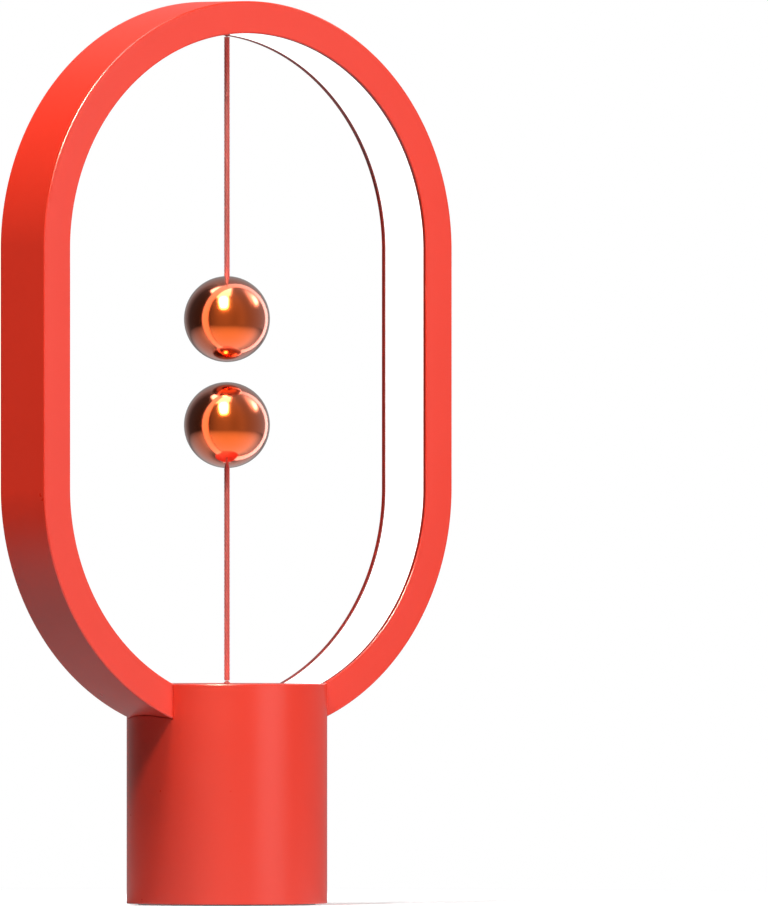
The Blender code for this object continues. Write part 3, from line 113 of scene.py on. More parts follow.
class Bench:
    """The steps by which each piece is modelled: add, extrude, size, bevel, cut and finish."""

    smooth_angle = math.radians(32.0)

    @staticmethod
    def clear() -> None:
        """Goes to object mode with nothing selected."""
        if bpy.context.mode != "OBJECT":
            bpy.ops.object.mode_set(mode="OBJECT")
        bpy.ops.object.select_all(action="DESELECT")

    @classmethod
    def hold(cls, obj: bpy.types.Object) -> bpy.types.Object:
        """Makes a piece the only selected and active one."""
        cls.clear()
        obj.select_set(True)
        bpy.context.view_layer.objects.active = obj
        return obj

    @classmethod
    def fresh(cls, name: str) -> bpy.types.Object:
        """Names the primitive that was just added.

        Args:
            name: The piece's name.

        Returns:
            The piece, in object mode.
        """
        obj = bpy.context.object
        obj.name = name
        obj.data.name = name
        return obj

    @classmethod
    def settle(cls, obj: bpy.types.Object) -> None:
        """Moves a piece's place and turn into its mesh."""
        cls.hold(obj)
        bpy.ops.object.transform_apply(location=True, rotation=True, scale=True)

    @classmethod
    def pick_edges(cls, obj: bpy.types.Object, wanted: Callable[[Vector, Vector], bool]) -> int:
        """Selects edges by the places of their ends and leaves the piece in edit mode.

        Args:
            obj: The piece, with its place in its mesh.
            wanted: Says from an edge's two ends whether it is selected.

        Returns:
            How many edges were selected.
        """
        cls.hold(obj)
        bpy.ops.object.mode_set(mode="EDIT")
        bpy.ops.mesh.select_mode(type="EDGE")
        bpy.ops.mesh.select_all(action="DESELECT")
        bm = bmesh.from_edit_mesh(obj.data)
        chosen = [edge for edge in bm.edges if wanted(edge.verts[0].co, edge.verts[1].co)]
        for edge in chosen:
            edge.select_set(True)
        bm.select_flush_mode()
        bmesh.update_edit_mesh(obj.data)
        return len(chosen)

    @classmethod
    def pick_faces(cls, obj: bpy.types.Object, wanted: Callable[[Vector, Vector], bool]) -> int:
        """Selects faces by their middle and normal and leaves the piece in edit mode.

        Args:
            obj: The piece, with its place in its mesh.
            wanted: Says from a face's middle and normal whether it is selected.

        Returns:
            How many faces were selected.
        """
        cls.hold(obj)
        bpy.ops.object.mode_set(mode="EDIT")
        bpy.ops.mesh.select_mode(type="FACE")
        bpy.ops.mesh.select_all(action="DESELECT")
        bm = bmesh.from_edit_mesh(obj.data)
        chosen = [face for face in bm.faces if wanted(face.calc_center_median(), face.normal)]
        for face in chosen:
            face.select_set(True)
        bm.select_flush_mode()
        bmesh.update_edit_mesh(obj.data)
        return len(chosen)

    @classmethod
    def pick_points(cls, obj: bpy.types.Object, wanted: Callable[[Vector], bool]) -> int:
        """Selects points by their place and leaves the piece in edit mode.

        Args:
            obj: The piece, with its place in its mesh.
            wanted: Says from a point's place whether it is selected.

        Returns:
            How many points were selected.
        """
        cls.hold(obj)
        bpy.ops.object.mode_set(mode="EDIT")
        bpy.ops.mesh.select_mode(type="VERT")
        bpy.ops.mesh.select_all(action="DESELECT")
        bm = bmesh.from_edit_mesh(obj.data)
        chosen = [vert for vert in bm.verts if wanted(vert.co)]
        for vert in chosen:
            vert.select_set(True)
        bm.select_flush_mode()
        bmesh.update_edit_mesh(obj.data)
        return len(chosen)

    @classmethod
    def swept(
        cls,
        name: str,
        section: Section,
        axis: Axis = Axis.UP,
        centre: Vector = Vector((0.0, 0.0, 0.0)),
        sides: int = 96,
        closed: bool = False,
    ) -> bpy.types.Object:
        """Carries a section round an axis: a circle is extruded and sized once for each point.

        Args:
            name: The piece's name.
            section: Its points as (radius, height along the axis).
            axis: The direction of the axis.
            centre: A point on the axis.
            sides: How many sides the circle has.
            closed: True for a ring, whose last point goes back to its first.

        Returns:
            The closed solid.
        """
        cls.clear()
        radius, height = section[0]
        bpy.ops.mesh.primitive_circle_add(
            vertices=sides,
            radius=radius,
            fill_type="NOTHING",
            location=centre + axis.way * height,
            rotation=axis.circle_turn,
        )
        obj = cls.fresh(name)
        bpy.ops.object.mode_set(mode="EDIT")
        bpy.ops.mesh.select_mode(type="EDGE")
        bpy.ops.mesh.select_all(action="SELECT")
        rest = list(section[1:]) + ([section[0]] if closed else [])
        for next_radius, next_height in rest:
            step = axis.way * (next_height - height)
            bpy.ops.mesh.extrude_edges_move(TRANSFORM_OT_translate={"value": step})
            if next_radius != radius:
                bpy.ops.transform.resize(
                    value=axis.spread(next_radius / radius),
                    center_override=centre + axis.way * next_height,
                )
            radius, height = next_radius, next_height
        bpy.ops.mesh.select_all(action="SELECT")
        if closed:
            bpy.ops.mesh.remove_doubles(threshold=0.002 * MM)
        else:
            bpy.ops.mesh.fill_holes(sides=0)
        bpy.ops.mesh.select_all(action="SELECT")
        bpy.ops.mesh.normals_make_consistent(inside=False)
        cls.settle(obj)
        return obj

    @classmethod
    def block(cls, name: str, low: Sequence[float], high: Sequence[float]) -> bpy.types.Object:
        """A block between two corners, its place in its mesh."""
        cls.clear()
        bpy.ops.mesh.primitive_cube_add(
            size=1.0,
            location=[(a + b) / 2 for a, b in zip(low, high)],
            scale=[b - a for a, b in zip(low, high)],
        )
        obj = cls.fresh(name)
        cls.settle(obj)
        return obj

    @classmethod
    def soften(
        cls,
        obj: bpy.types.Object,
        corners: Iterable[tuple[float, float]],
        width: float,
        segments: int = 4,
        axis: Axis = Axis.UP,
        centre: Vector = Vector((0.0, 0.0, 0.0)),
    ) -> None:
        """Rounds the edges of a turned piece that lie on some corners of its section.

        Args:
            obj: The piece, with its place in its mesh.
            corners: The corners as (radius, height along the axis).
            width: The round's width.
            segments: How many facets make the round.
            axis: The direction of the axis.
            centre: A point on the axis.
        """
        wanted = list(corners)
        near = 0.02 * MM

        def on_corner(place: Vector) -> tuple[float, float] | None:
            out = place - centre
            height = out.dot(axis.way)
            radius = (out - axis.way * height).length
            for corner in wanted:
                if abs(radius - corner[0]) < near and abs(height - corner[1]) < near:
                    return corner
            return None

        def wanted_edge(a: Vector, b: Vector) -> bool:
            first = on_corner(a)
            return first is not None and first == on_corner(b)

        cls.pick_edges(obj, wanted_edge)
        bpy.ops.mesh.bevel(offset=width, segments=segments, affect="EDGES")
        bpy.ops.object.mode_set(mode="OBJECT")

    @classmethod
    def bevel_where(
        cls,
        obj: bpy.types.Object,
        wanted: Callable[[Vector, Vector], bool],
        width: float,
        segments: int = 3,
    ) -> None:
        """Rounds the edges that a test on their two ends picks."""
        if cls.pick_edges(obj, wanted):
            bpy.ops.mesh.bevel(offset=width, segments=segments, affect="EDGES")
        bpy.ops.object.mode_set(mode="OBJECT")

    @classmethod
    def apply(cls, obj: bpy.types.Object, kind: str, **settings: object) -> None:
        """Adds a modifier with its settings and applies it."""
        cls.hold(obj)
        modifier = obj.modifiers.new(kind.lower(), kind)
        for name, value in settings.items():
            setattr(modifier, name, value)
        bpy.ops.object.modifier_apply(modifier=modifier.name)

    @classmethod
    def cut(cls, obj: bpy.types.Object, *cutters: bpy.types.Object) -> None:
        """Cuts the cutters' shapes out of a piece and throws the cutters away."""
        for cutter in cutters:
            cls.apply(obj, "BOOLEAN", operation="DIFFERENCE", solver="EXACT", object=cutter)
            bpy.data.objects.remove(cutter, do_unlink=True)

    @classmethod
    def join(cls, obj: bpy.types.Object, *others: bpy.types.Object) -> None:
        """Fuses other shapes into a piece."""
        for other in others:
            cls.apply(obj, "BOOLEAN", operation="UNION", solver="EXACT", object=other)
            bpy.data.objects.remove(other, do_unlink=True)

    @classmethod
    def place(cls, obj: bpy.types.Object, matrix: Matrix) -> None:
        """Puts a piece that was made at the origin where a matrix says."""
        cls.hold(obj)
        obj.matrix_world = matrix
        cls.settle(obj)

    @classmethod
    def shade(cls, obj: bpy.types.Object) -> None:
        """Smooth shading that breaks at sharp edges and stays flat on flat faces."""
        cls.hold(obj)
        bpy.ops.object.shade_smooth_by_angle(angle=cls.smooth_angle)
        cls.apply(obj, "WEIGHTED_NORMAL", keep_sharp=True, weight=80)

    @staticmethod
    def round_normals(obj: bpy.types.Object, radius: float) -> None:
        """Turns the normals of a body's cylindrical outside straight out from the Z axis.

        Args:
            obj: The body, already shaded.
            radius: The cylinder's radius; upright faces whose points all lie near it are meant.
        """
        mesh = obj.data
        normals = [Vector(corner.vector) for corner in mesh.corner_normals]
        for face in mesh.polygons:
            if abs(face.normal.z) > 0.02:
                continue
            spots = [mesh.vertices[index].co for index in face.vertices]
            if all(abs(spot.xy.length - radius) < 0.1 * MM for spot in spots):
                for loop, spot in zip(face.loop_indices, spots):
                    normals[loop] = Vector((spot.x, spot.y, 0.0)).normalized()
        mesh.normals_split_custom_set(normals)

    @staticmethod
    def mark_shaded(obj: bpy.types.Object, wanted: Callable[[Vector, Vector], bool]) -> None:
        """Writes the point attribute shaded, 1 on the faces that a test on middle and normal picks:
        faces that get painted shade.
        """
        mesh = obj.data
        values = [0.0] * len(mesh.vertices)
        for face in mesh.polygons:
            if wanted(face.center, face.normal):
                for index in face.vertices:
                    values[index] = 1.0
        layer = mesh.attributes.new("shaded", "FLOAT", "POINT")
        layer.data.foreach_set("value", values)

    @classmethod
    def mark_edge_wear_and_shade(cls, obj: bpy.types.Object, narrow: float = 0.35 * MM) -> None:
        """Writes a point attribute, 1 on the narrow facets of rounded edges: most finishes lighten
        them as wear, the red plastic darkens them as painted shade.
        """
        mesh = obj.data
        widest = [0.0] * len(mesh.vertices)
        for face in mesh.polygons:
            around = sum(
                (mesh.vertices[a].co - mesh.vertices[b].co).length for a, b in face.edge_keys
            )
            for index in face.vertices:
                widest[index] = max(widest[index], 2.0 * face.area / max(around, 1e-9))
        layer = mesh.attributes.new("edge_wear_and_shade", "FLOAT", "POINT")
        layer.data.foreach_set("value", [1.0 if width < narrow else 0.0 for width in widest])


def body_of(node: str) -> str:
    """The body that a CAD node rides on."""
    bodies = frame["record"]["behaviour"]["bodies"]
    return next(body for body, nodes in bodies.items() if node in nodes)


# ---------------------------------------------------------------- materials


class ShaderTree:
    """A material's or group's nodes, with short ways to add and join them."""

    def __init__(self, tree: bpy.types.NodeTree) -> None:
        """Takes a node tree.

        Args:
            tree: The tree to add to.
        """
        self.tree = tree

    def add(self, kind: str, **settings: object) -> bpy.types.Node:
        """Adds a node and sets its properties.

        Args:
            kind: The node's type name.
            **settings: Properties by name.

        Returns:
            The node.
        """
        node = self.tree.nodes.new(kind)
        for name, value in settings.items():
            setattr(node, name, value)
        return node

    def join(self, output: bpy.types.NodeSocket, target: bpy.types.NodeSocket) -> None:
        """Links an output to an input."""
        self.tree.links.new(output, target)

    def math(self, operation: str, *values: object) -> bpy.types.NodeSocket:
        """A Math node on numbers or sockets.

        Args:
            operation: The operation's name.
            *values: A number or an output socket for each input.

        Returns:
            The result's socket.
        """
        node = self.add("ShaderNodeMath", operation=operation)
        for socket, value in zip(node.inputs, values):
            if isinstance(value, bpy.types.NodeSocket):
                self.join(value, socket)
            else:
                socket.default_value = value
        return node.outputs[0]

    def range(
        self, value: bpy.types.NodeSocket, low: float, high: float, out_low: float, out_high: float
    ) -> bpy.types.NodeSocket:
        """Maps one range of a value onto another, smoothly and held at the ends."""
        node = self.add("ShaderNodeMapRange", interpolation_type="SMOOTHSTEP")
        self.join(value, node.inputs["Value"])
        for name, number in (
            ("From Min", low),
            ("From Max", high),
            ("To Min", out_low),
            ("To Max", out_high),
        ):
            node.inputs[name].default_value = number
        return node.outputs["Result"]

    def noise(
        self, place: bpy.types.NodeSocket, scale: object, detail: float = 2.0
    ) -> bpy.types.NodeSocket:
        """Plain noise, from 0 to 1."""
        node = self.add("ShaderNodeTexNoise")
        self.join(place, node.inputs["Vector"])
        if isinstance(scale, bpy.types.NodeSocket):
            self.join(scale, node.inputs["Scale"])
        else:
            node.inputs["Scale"].default_value = scale
        node.inputs["Detail"].default_value = detail
        return node.outputs["Fac"]

    def blend(
        self, share: bpy.types.NodeSocket, first: Sequence[float], second: Sequence[float]
    ) -> bpy.types.NodeSocket:
        """Mixes two colours by a share."""
        node = self.add("ShaderNodeMix", data_type="RGBA")
        self.join(share, node.inputs["Factor"])
        for socket, colour in ((node.inputs[6], first), (node.inputs[7], second)):
            if isinstance(colour, bpy.types.NodeSocket):
                self.join(colour, socket)
            else:
                socket.default_value = (*colour, 1.0)
        return node.outputs[2]

    def group(self, tree: bpy.types.NodeTree, **values: object) -> bpy.types.Node:
        """Places a node group and sets its inputs.

        Args:
            tree: The group.
            **values: Inputs by name, each a number or an output socket.

        Returns:
            The group's node.
        """
        node = self.add("ShaderNodeGroup", node_tree=tree)
        for name, value in values.items():
            if isinstance(value, bpy.types.NodeSocket):
                self.join(value, node.inputs[name])
            else:
                node.inputs[name].default_value = value
        return node


class Effects:
    """The surface effects that several materials share, each a node group that is built once."""

    built: dict[str, bpy.types.NodeTree] = {}

    @classmethod
    def start(
        cls, name: str, inputs: dict[str, float | None], outputs: Sequence[str]
    ) -> tuple[ShaderTree, bpy.types.Node, bpy.types.Node]:
        """Starts a node group.

        Args:
            name: The group's name.
            inputs: Each input with its default, or None for a place.
            outputs: The outputs' names.

        Returns:
            The tree's helper and the group's input and output nodes.
        """
        tree = bpy.data.node_groups.new(name, "ShaderNodeTree")
        for key, default in inputs.items():
            kind = "NodeSocketVector" if default is None else "NodeSocketFloat"
            socket = tree.interface.new_socket(key, in_out="INPUT", socket_type=kind)
            if default is not None:
                socket.default_value = default
        for key in outputs:
            tree.interface.new_socket(key, in_out="OUTPUT", socket_type="NodeSocketFloat")
        cls.built[name] = tree
        shader = ShaderTree(tree)
        return shader, shader.add("NodeGroupInput"), shader.add("NodeGroupOutput")

    @classmethod
    def moulded_grain(cls) -> bpy.types.NodeTree:
        """The fine spark-eroded skin of a moulding, with the soft flow of the plastic under it."""
        if "moulded_grain" in cls.built:
            return cls.built["moulded_grain"]
        shader, given, made = cls.start(
            "moulded_grain", {"Place": None, "Grains": 2400.0}, ("Height", "Flow")
        )
        cells = shader.add("ShaderNodeTexVoronoi", feature="SMOOTH_F1")
        shader.join(given.outputs["Place"], cells.inputs["Vector"])
        shader.join(given.outputs["Grains"], cells.inputs["Scale"])
        fine = shader.noise(given.outputs["Place"], given.outputs["Grains"], 3.0)
        height = shader.math("ADD", shader.math("MULTIPLY", cells.outputs["Distance"], 0.6), fine)
        flow = shader.noise(given.outputs["Place"], 22.0, 3.0)
        shader.join(height, made.inputs["Height"])
        shader.join(shader.range(flow, 0.3, 0.7, 0.0, 1.0), made.inputs["Flow"])
        return cls.built["moulded_grain"]

    @classmethod
    def handling(cls) -> bpy.types.NodeTree:
        """Faint smudges of hands and the dust that settles on faces that look up."""
        if "handling" in cls.built:
            return cls.built["handling"]
        shader, given, made = cls.start("handling", {"Place": None}, ("Smudge", "Dust"))
        broad = shader.noise(given.outputs["Place"], 55.0, 4.0)
        streak = shader.noise(given.outputs["Place"], 260.0, 2.0)
        smudge = shader.math("MULTIPLY", shader.range(broad, 0.45, 0.7, 0.0, 1.0), streak)
        facing = shader.add("ShaderNodeNewGeometry")
        parts = shader.add("ShaderNodeSeparateXYZ")
        shader.join(facing.outputs["Normal"], parts.inputs["Vector"])
        level = shader.range(parts.outputs["Z"], 0.7, 0.98, 0.0, 1.0)
        specks = shader.range(shader.noise(given.outputs["Place"], 1800.0, 1.0), 0.5, 0.75, 0.0, 1.0)
        shader.join(smudge, made.inputs["Smudge"])
        shader.join(shader.math("MULTIPLY", level, specks), made.inputs["Dust"])
        return cls.built["handling"]

    @classmethod
    def polish_lines(cls) -> bpy.types.NodeTree:
        """The hair-fine marks that polishing and wiping leave on metal."""
        if "polish_lines" in cls.built:
            return cls.built["polish_lines"]
        shader, given, made = cls.start(
            "polish_lines", {"Place": None, "Fineness": 900.0}, ("Height", "Haze")
        )
        drawn = shader.add("ShaderNodeMapping")
        drawn.inputs["Scale"].default_value = (1.0, 1.0, 0.06)
        drawn.inputs["Rotation"].default_value = (0.4, 0.25, 0.0)
        shader.join(given.outputs["Place"], drawn.inputs["Vector"])
        lines = shader.noise(drawn.outputs["Vector"], given.outputs["Fineness"], 2.0)
        haze = shader.noise(given.outputs["Place"], 90.0, 3.0)
        shader.join(lines, made.inputs["Height"])
        shader.join(shader.range(haze, 0.4, 0.75, 0.0, 1.0), made.inputs["Haze"])
        return cls.built["polish_lines"]

    @classmethod
    def braided_strands(cls) -> bpy.types.NodeTree:
        """Strands that cross each other round the Z axis, with their fibres."""
        if "braided_strands" in cls.built:
            return cls.built["braided_strands"]
        shader, given, made = cls.start(
            "braided_strands",
            {"Place": None, "Lobes": 3.0, "Climb": 1820.0},
            ("Height", "Lean"),
        )
        parts = shader.add("ShaderNodeSeparateXYZ")
        shader.join(given.outputs["Place"], parts.inputs["Vector"])
        turn = shader.math("ARCTAN2", parts.outputs["Y"], parts.outputs["X"])
        around = shader.math("MULTIPLY", turn, given.outputs["Lobes"])
        climb = shader.math("MULTIPLY", parts.outputs["Z"], given.outputs["Climb"])
        right = shader.math("ABSOLUTE", shader.math("COSINE", shader.math("ADD", around, climb)))
        left = shader.math("ABSOLUTE", shader.math("COSINE", shader.math("SUBTRACT", around, climb)))
        fibres = shader.noise(given.outputs["Place"], 5200.0, 2.0)
        height = shader.math("MAXIMUM", right, left)
        shader.join(
            shader.math("ADD", height, shader.math("MULTIPLY", fibres, 0.5)), made.inputs["Height"]
        )
        shader.join(shader.math("GREATER_THAN", right, left), made.inputs["Lean"])
        return cls.built["braided_strands"]

    @classmethod
    def hooked_weave(cls) -> bpy.types.NodeTree:
        """The small loops of a hook-and-loop strap."""
        if "hooked_weave" in cls.built:
            return cls.built["hooked_weave"]
        shader, given, made = cls.start("hooked_weave", {"Place": None}, ("Height", "Fleck"))
        cells = shader.add("ShaderNodeTexVoronoi", feature="F1")
        shader.join(given.outputs["Place"], cells.inputs["Vector"])
        cells.inputs["Scale"].default_value = 2100.0
        fleck = shader.noise(given.outputs["Place"], 900.0, 3.0)
        shader.join(cells.outputs["Distance"], made.inputs["Height"])
        shader.join(fleck, made.inputs["Fleck"])
        return cls.built["hooked_weave"]


@dataclass(frozen=True)
class Finish:
    """A finish on one of the record's material slots.

    Attributes:
        slot: The record's slot.
        colour: The main colour, linear.
        roughness: The middle roughness.
    """

    slot: Slot
    colour: tuple[float, float, float]
    roughness: float = 0.5

    def material(self) -> bpy.types.Material:
        """The finish's material, made the first time that it is asked for."""
        name = f"{self.slot.value}_{type(self).__name__}"
        found = bpy.data.materials.get(name)
        if found is not None:
            return found
        material = bpy.data.materials.new(name)
        material.use_nodes = True
        shader = ShaderTree(material.node_tree)
        surface = next(n for n in material.node_tree.nodes if n.type == "BSDF_PRINCIPLED")
        surface.inputs["Roughness"].default_value = self.roughness
        surface.inputs["Base Color"].default_value = (*self.colour, 1.0)
        place = shader.add("ShaderNodeTexCoord").outputs["Object"]
        self.dress(shader, surface, place)
        return material

    def dress(
        self, shader: ShaderTree, surface: bpy.types.Node, place: bpy.types.NodeSocket
    ) -> None:
        """Adds this kind of finish's own nodes.

        Args:
            shader: The material's nodes.
            surface: Its Principled BSDF.
            place: Object coordinates.
        """
        raise NotImplementedError

    @staticmethod
    def relief(
        shader: ShaderTree,
        surface: bpy.types.Node,
        height: bpy.types.NodeSocket,
        strength: float,
        depth: float,
    ) -> None:
        """Joins a height to the surface's normal through a Bump node."""
        bump = shader.add("ShaderNodeBump")
        bump.inputs["Strength"].default_value = strength
        bump.inputs["Distance"].default_value = depth
        shader.join(height, bump.inputs["Height"])
        shader.join(bump.outputs["Normal"], surface.inputs["Normal"])

    @staticmethod
    def toned(colour: Sequence[float], factor: float) -> tuple[float, float, float]:
        """A colour made lighter or darker by a factor."""
        return tuple(min(1.0, part * factor) for part in colour)


@dataclass(frozen=True)
class MouldedPlastic(Finish):
    """A satin moulding: fine grain, slow flow marks, faint smudges, dust, edge wear, and painted shade
    on edges and marked faces.
    """

    grains: float = 2400.0
    grain_strength: float = 0.18
    grain_depth: float = 0.03 * MM
    # Tone of the rounded edges: above 1 lightens them as wear, below 1 darkens them as painted shade.
    edge_wear_and_shade: float = 1.12
    # Tone of the faces marked shaded: below 1 darkens them as painted shade.
    shaded: float = 1.0
    dusted: float = 0.05
    specular: float = 0.5

    def dress(
        self, shader: ShaderTree, surface: bpy.types.Node, place: bpy.types.NodeSocket
    ) -> None:
        """Grain to the bump; flow, edge wear, painted shade on edges and marked faces, and dust to the
        colour; smudges to the roughness.
        """
        grain = shader.group(Effects.moulded_grain(), Place=place, Grains=self.grains)
        hands = shader.group(Effects.handling(), Place=place)
        flow = shader.blend(
            grain.outputs["Flow"], self.toned(self.colour, 0.985), self.toned(self.colour, 1.01)
        )
        # Rounded edges take the finish's edge tone: wear where it lightens them, painted shade where
        # it darkens them.
        edge = shader.add("ShaderNodeAttribute", attribute_name="edge_wear_and_shade")
        edge_tone_share = shader.math("MULTIPLY", edge.outputs["Fac"], 0.6)
        edge_wear_and_shade = shader.blend(edge_tone_share, flow, self.toned(self.colour, self.edge_wear_and_shade))
        # Painted shade: faces marked shaded take a darker tone.
        if self.shaded != 1.0:
            painted_shade_mask = shader.add("ShaderNodeAttribute", attribute_name="shaded").outputs["Fac"]
            edge_wear_and_shade = shader.blend(painted_shade_mask, edge_wear_and_shade, self.toned(self.colour, self.shaded))
        dust = shader.math("MULTIPLY", hands.outputs["Dust"], self.dusted)
        shader.join(shader.blend(dust, edge_wear_and_shade, (0.6, 0.56, 0.52)), surface.inputs["Base Color"])
        smooth = shader.math("MULTIPLY_ADD", hands.outputs["Smudge"], -0.04, self.roughness)
        shader.join(
            shader.math("MULTIPLY_ADD", edge.outputs["Fac"], -0.08, smooth),
            surface.inputs["Roughness"],
        )
        surface.inputs["Specular IOR Level"].default_value = self.specular
        self.relief(
            shader, surface, grain.outputs["Height"], self.grain_strength, self.grain_depth
        )


@dataclass(frozen=True)
class LitDiffuser(MouldedPlastic):
    """Milky plastic that glows from the light strip behind it."""

    glow: float = 1.0
    cast: float = 0.15
    glow_colour: tuple[float, float, float] = (1.0, 1.0, 1.0)

    def dress(
        self, shader: ShaderTree, surface: bpy.types.Node, place: bpy.types.NodeSocket
    ) -> None:
        """The moulding's nodes, and a glow that breathes a little with the plastic's flow."""
        super().dress(shader, surface, place)
        clouds = shader.range(shader.noise(place, 30.0, 2.0), 0.3, 0.7, 0.0, 1.0)
        tint = shader.blend(clouds, self.toned(self.glow_colour, 0.97), self.glow_colour)
        shader.join(tint, surface.inputs["Emission Color"])
        bounced = shader.add("ShaderNodeLightPath").outputs["Is Diffuse Ray"]
        shader.join(
            shader.math("MULTIPLY_ADD", bounced, self.cast - self.glow, self.glow),
            surface.inputs["Emission Strength"],
        )
        surface.inputs["Subsurface Weight"].default_value = 0.0


@dataclass(frozen=True)
class BraidedCord(Finish):
    """Polyester strands braided round a core."""

    def dress(
        self, shader: ShaderTree, surface: bpy.types.Node, place: bpy.types.NodeSocket
    ) -> None:
        """Strand relief to the bump; two tones of thread, and painted shade in the gaps between
        strands, to the colour.
        """
        braid = shader.group(Effects.braided_strands(), Place=place)
        tone = shader.blend(
            braid.outputs["Lean"], self.toned(self.colour, 0.92), self.toned(self.colour, 1.06)
        )
        # Painted shade: where the braid's relief is low, between the strands, the colour is darker.
        dark = shader.range(braid.outputs["Height"], 0.75, 1.1, 0.0, 1.0)
        shader.join(
            shader.blend(dark, self.toned(self.colour, 0.7), tone), surface.inputs["Base Color"]
        )
        surface.inputs["Sheen Weight"].default_value = 0.35
        surface.inputs["Sheen Roughness"].default_value = 0.4
        self.relief(shader, surface, braid.outputs["Height"], 0.5, 0.05 * MM)


@dataclass(frozen=True)
class PolishedMetal(Finish):
    """Plated or polished metal with wiping marks and a little haze."""

    fineness: float = 900.0
    haze: float = 0.05
    line_strength: float = 0.02
    edge_tint: tuple[float, float, float] = (1.0, 1.0, 1.0)

    def dress(
        self, shader: ShaderTree, surface: bpy.types.Node, place: bpy.types.NodeSocket
    ) -> None:
        """Wiping lines to the bump and haze to the colour and roughness."""
        marks = shader.group(Effects.polish_lines(), Place=place, Fineness=self.fineness)
        shader.join(
            shader.blend(marks.outputs["Haze"], self.colour, self.toned(self.colour, 0.96)),
            surface.inputs["Base Color"],
        )
        shader.join(
            shader.math("MULTIPLY_ADD", marks.outputs["Haze"], self.haze, self.roughness),
            surface.inputs["Roughness"],
        )
        surface.inputs["Metallic"].default_value = 1.0
        surface.inputs["Specular Tint"].default_value = (*self.edge_tint, 1.0)
        self.relief(shader, surface, marks.outputs["Height"], self.line_strength, 0.02 * MM)


@dataclass(frozen=True)
class LacqueredMetal(PolishedMetal):
    """Polished plate under clear lacquer, which pales towards the edge of a curve."""

    pale: tuple[float, float, float] = (0.97, 0.93, 0.9)
    pale_power: float = 1.8

    def dress(
        self, shader: ShaderTree, surface: bpy.types.Node, place: bpy.types.NodeSocket
    ) -> None:
        """The polish's nodes, with the colour mixed towards the pale one by the view."""
        super().dress(shader, surface, place)
        plate = surface.inputs["Base Color"].links[0].from_socket
        edge = shader.add("ShaderNodeLayerWeight")
        edge.inputs["Blend"].default_value = 0.5
        share = shader.math("POWER", edge.outputs["Facing"], self.pale_power)
        shader.join(shader.blend(share, plate, self.pale), surface.inputs["Base Color"])


@dataclass(frozen=True)
class LoopedStrap(Finish):
    """A black hook-and-loop strap."""

    def dress(
        self, shader: ShaderTree, surface: bpy.types.Node, place: bpy.types.NodeSocket
    ) -> None:
        """Loops to the bump and lint to the colour."""
        weave = shader.group(Effects.hooked_weave(), Place=place)
        lint = shader.range(weave.outputs["Fleck"], 0.5, 0.75, 0.0, 0.5)
        shader.join(
            shader.blend(lint, self.colour, self.toned(self.colour, 2.2)),
            surface.inputs["Base Color"],
        )
        surface.inputs["Sheen Weight"].default_value = 0.4
        self.relief(shader, surface, weave.outputs["Height"], 0.8, 0.2 * MM)


@dataclass(frozen=True)
class PrintedBoard(Finish):
    """A lacquered circuit board with its copper tracks under the lacquer."""

    track: tuple[float, float, float] = (0.05, 0.34, 0.16)
    part_height: float = 29.0 * MM

    def dress(
        self, shader: ShaderTree, surface: bpy.types.Node, place: bpy.types.NodeSocket
    ) -> None:
        """Tracks as stepped bands, and dark parts above the board's top."""
        bands = shader.add("ShaderNodeTexWave", bands_direction="X")
        shader.join(place, bands.inputs["Vector"])
        bands.inputs["Scale"].default_value = 320.0
        bands.inputs["Distortion"].default_value = 3.0
        tracks = shader.math("GREATER_THAN", bands.outputs["Fac"], 0.72)
        board = shader.blend(tracks, self.colour, self.track)
        parts = shader.add("ShaderNodeSeparateXYZ")
        shader.join(place, parts.inputs["Vector"])
        raised = shader.math("GREATER_THAN", parts.outputs["Z"], self.part_height)
        shader.join(shader.blend(raised, board, (0.02, 0.02, 0.022)), surface.inputs["Base Color"])
        self.relief(shader, surface, bands.outputs["Fac"], 0.2, 0.05 * MM)


RED = MouldedPlastic(
    Slot.RED_PLASTIC,
    (0.84, 0.033, 0.011),
    0.3,
    grain_strength=0.12,
    # painted shade: the rounded edges a little darker
    edge_wear_and_shade=0.97,
    # painted shade: the lips beside the diffuser much darker
    shaded=0.42,
    specular=0.8,
)
CORD = BraidedCord(Slot.RED_CORD, (0.52, 0.055, 0.045), 0.6)
MILK = LitDiffuser(Slot.MILKY_PLASTIC, (0.9, 0.9, 0.89), 0.45, grain_strength=0.08)
WHITE = MouldedPlastic(Slot.WHITE_PLASTIC, (0.86, 0.86, 0.85), 0.34, grain_strength=0.1)
COPPER = LacqueredMetal(Slot.COPPER_PLATE, (0.97, 0.16, 0.03), 0.12, haze=0.03)
BRIGHT = PolishedMetal(Slot.BRIGHT_STEEL, (0.62, 0.62, 0.63), 0.16, haze=0.08, line_strength=0.06)
DULL = PolishedMetal(Slot.DULL_STEEL, (0.45, 0.45, 0.46), 0.4, haze=0.12, line_strength=0.12)
BRASS = PolishedMetal(Slot.BRASS_SHEET, (0.74, 0.52, 0.2), 0.28, haze=0.1, line_strength=0.08)
RUBBER = MouldedPlastic(
    Slot.BLACK_RUBBER, (0.022, 0.022, 0.024), 0.78, 900.0, 0.5, 0.08 * MM, edge_wear_and_shade=1.8
)
BLACK = MouldedPlastic(Slot.BLACK_PLASTIC, (0.022, 0.022, 0.025), 0.5, edge_wear_and_shade=1.8)
STRAP = LoopedStrap(Slot.BLACK_PLASTIC, (0.02, 0.02, 0.022), 0.85)
BOARD = PrintedBoard(Slot.CIRCUIT_BOARD, (0.02, 0.2, 0.08), 0.35)
STRIP = MouldedPlastic(Slot.LED_STRIP_WHITE, (0.88, 0.88, 0.86), 0.5, grain_strength=0.05)


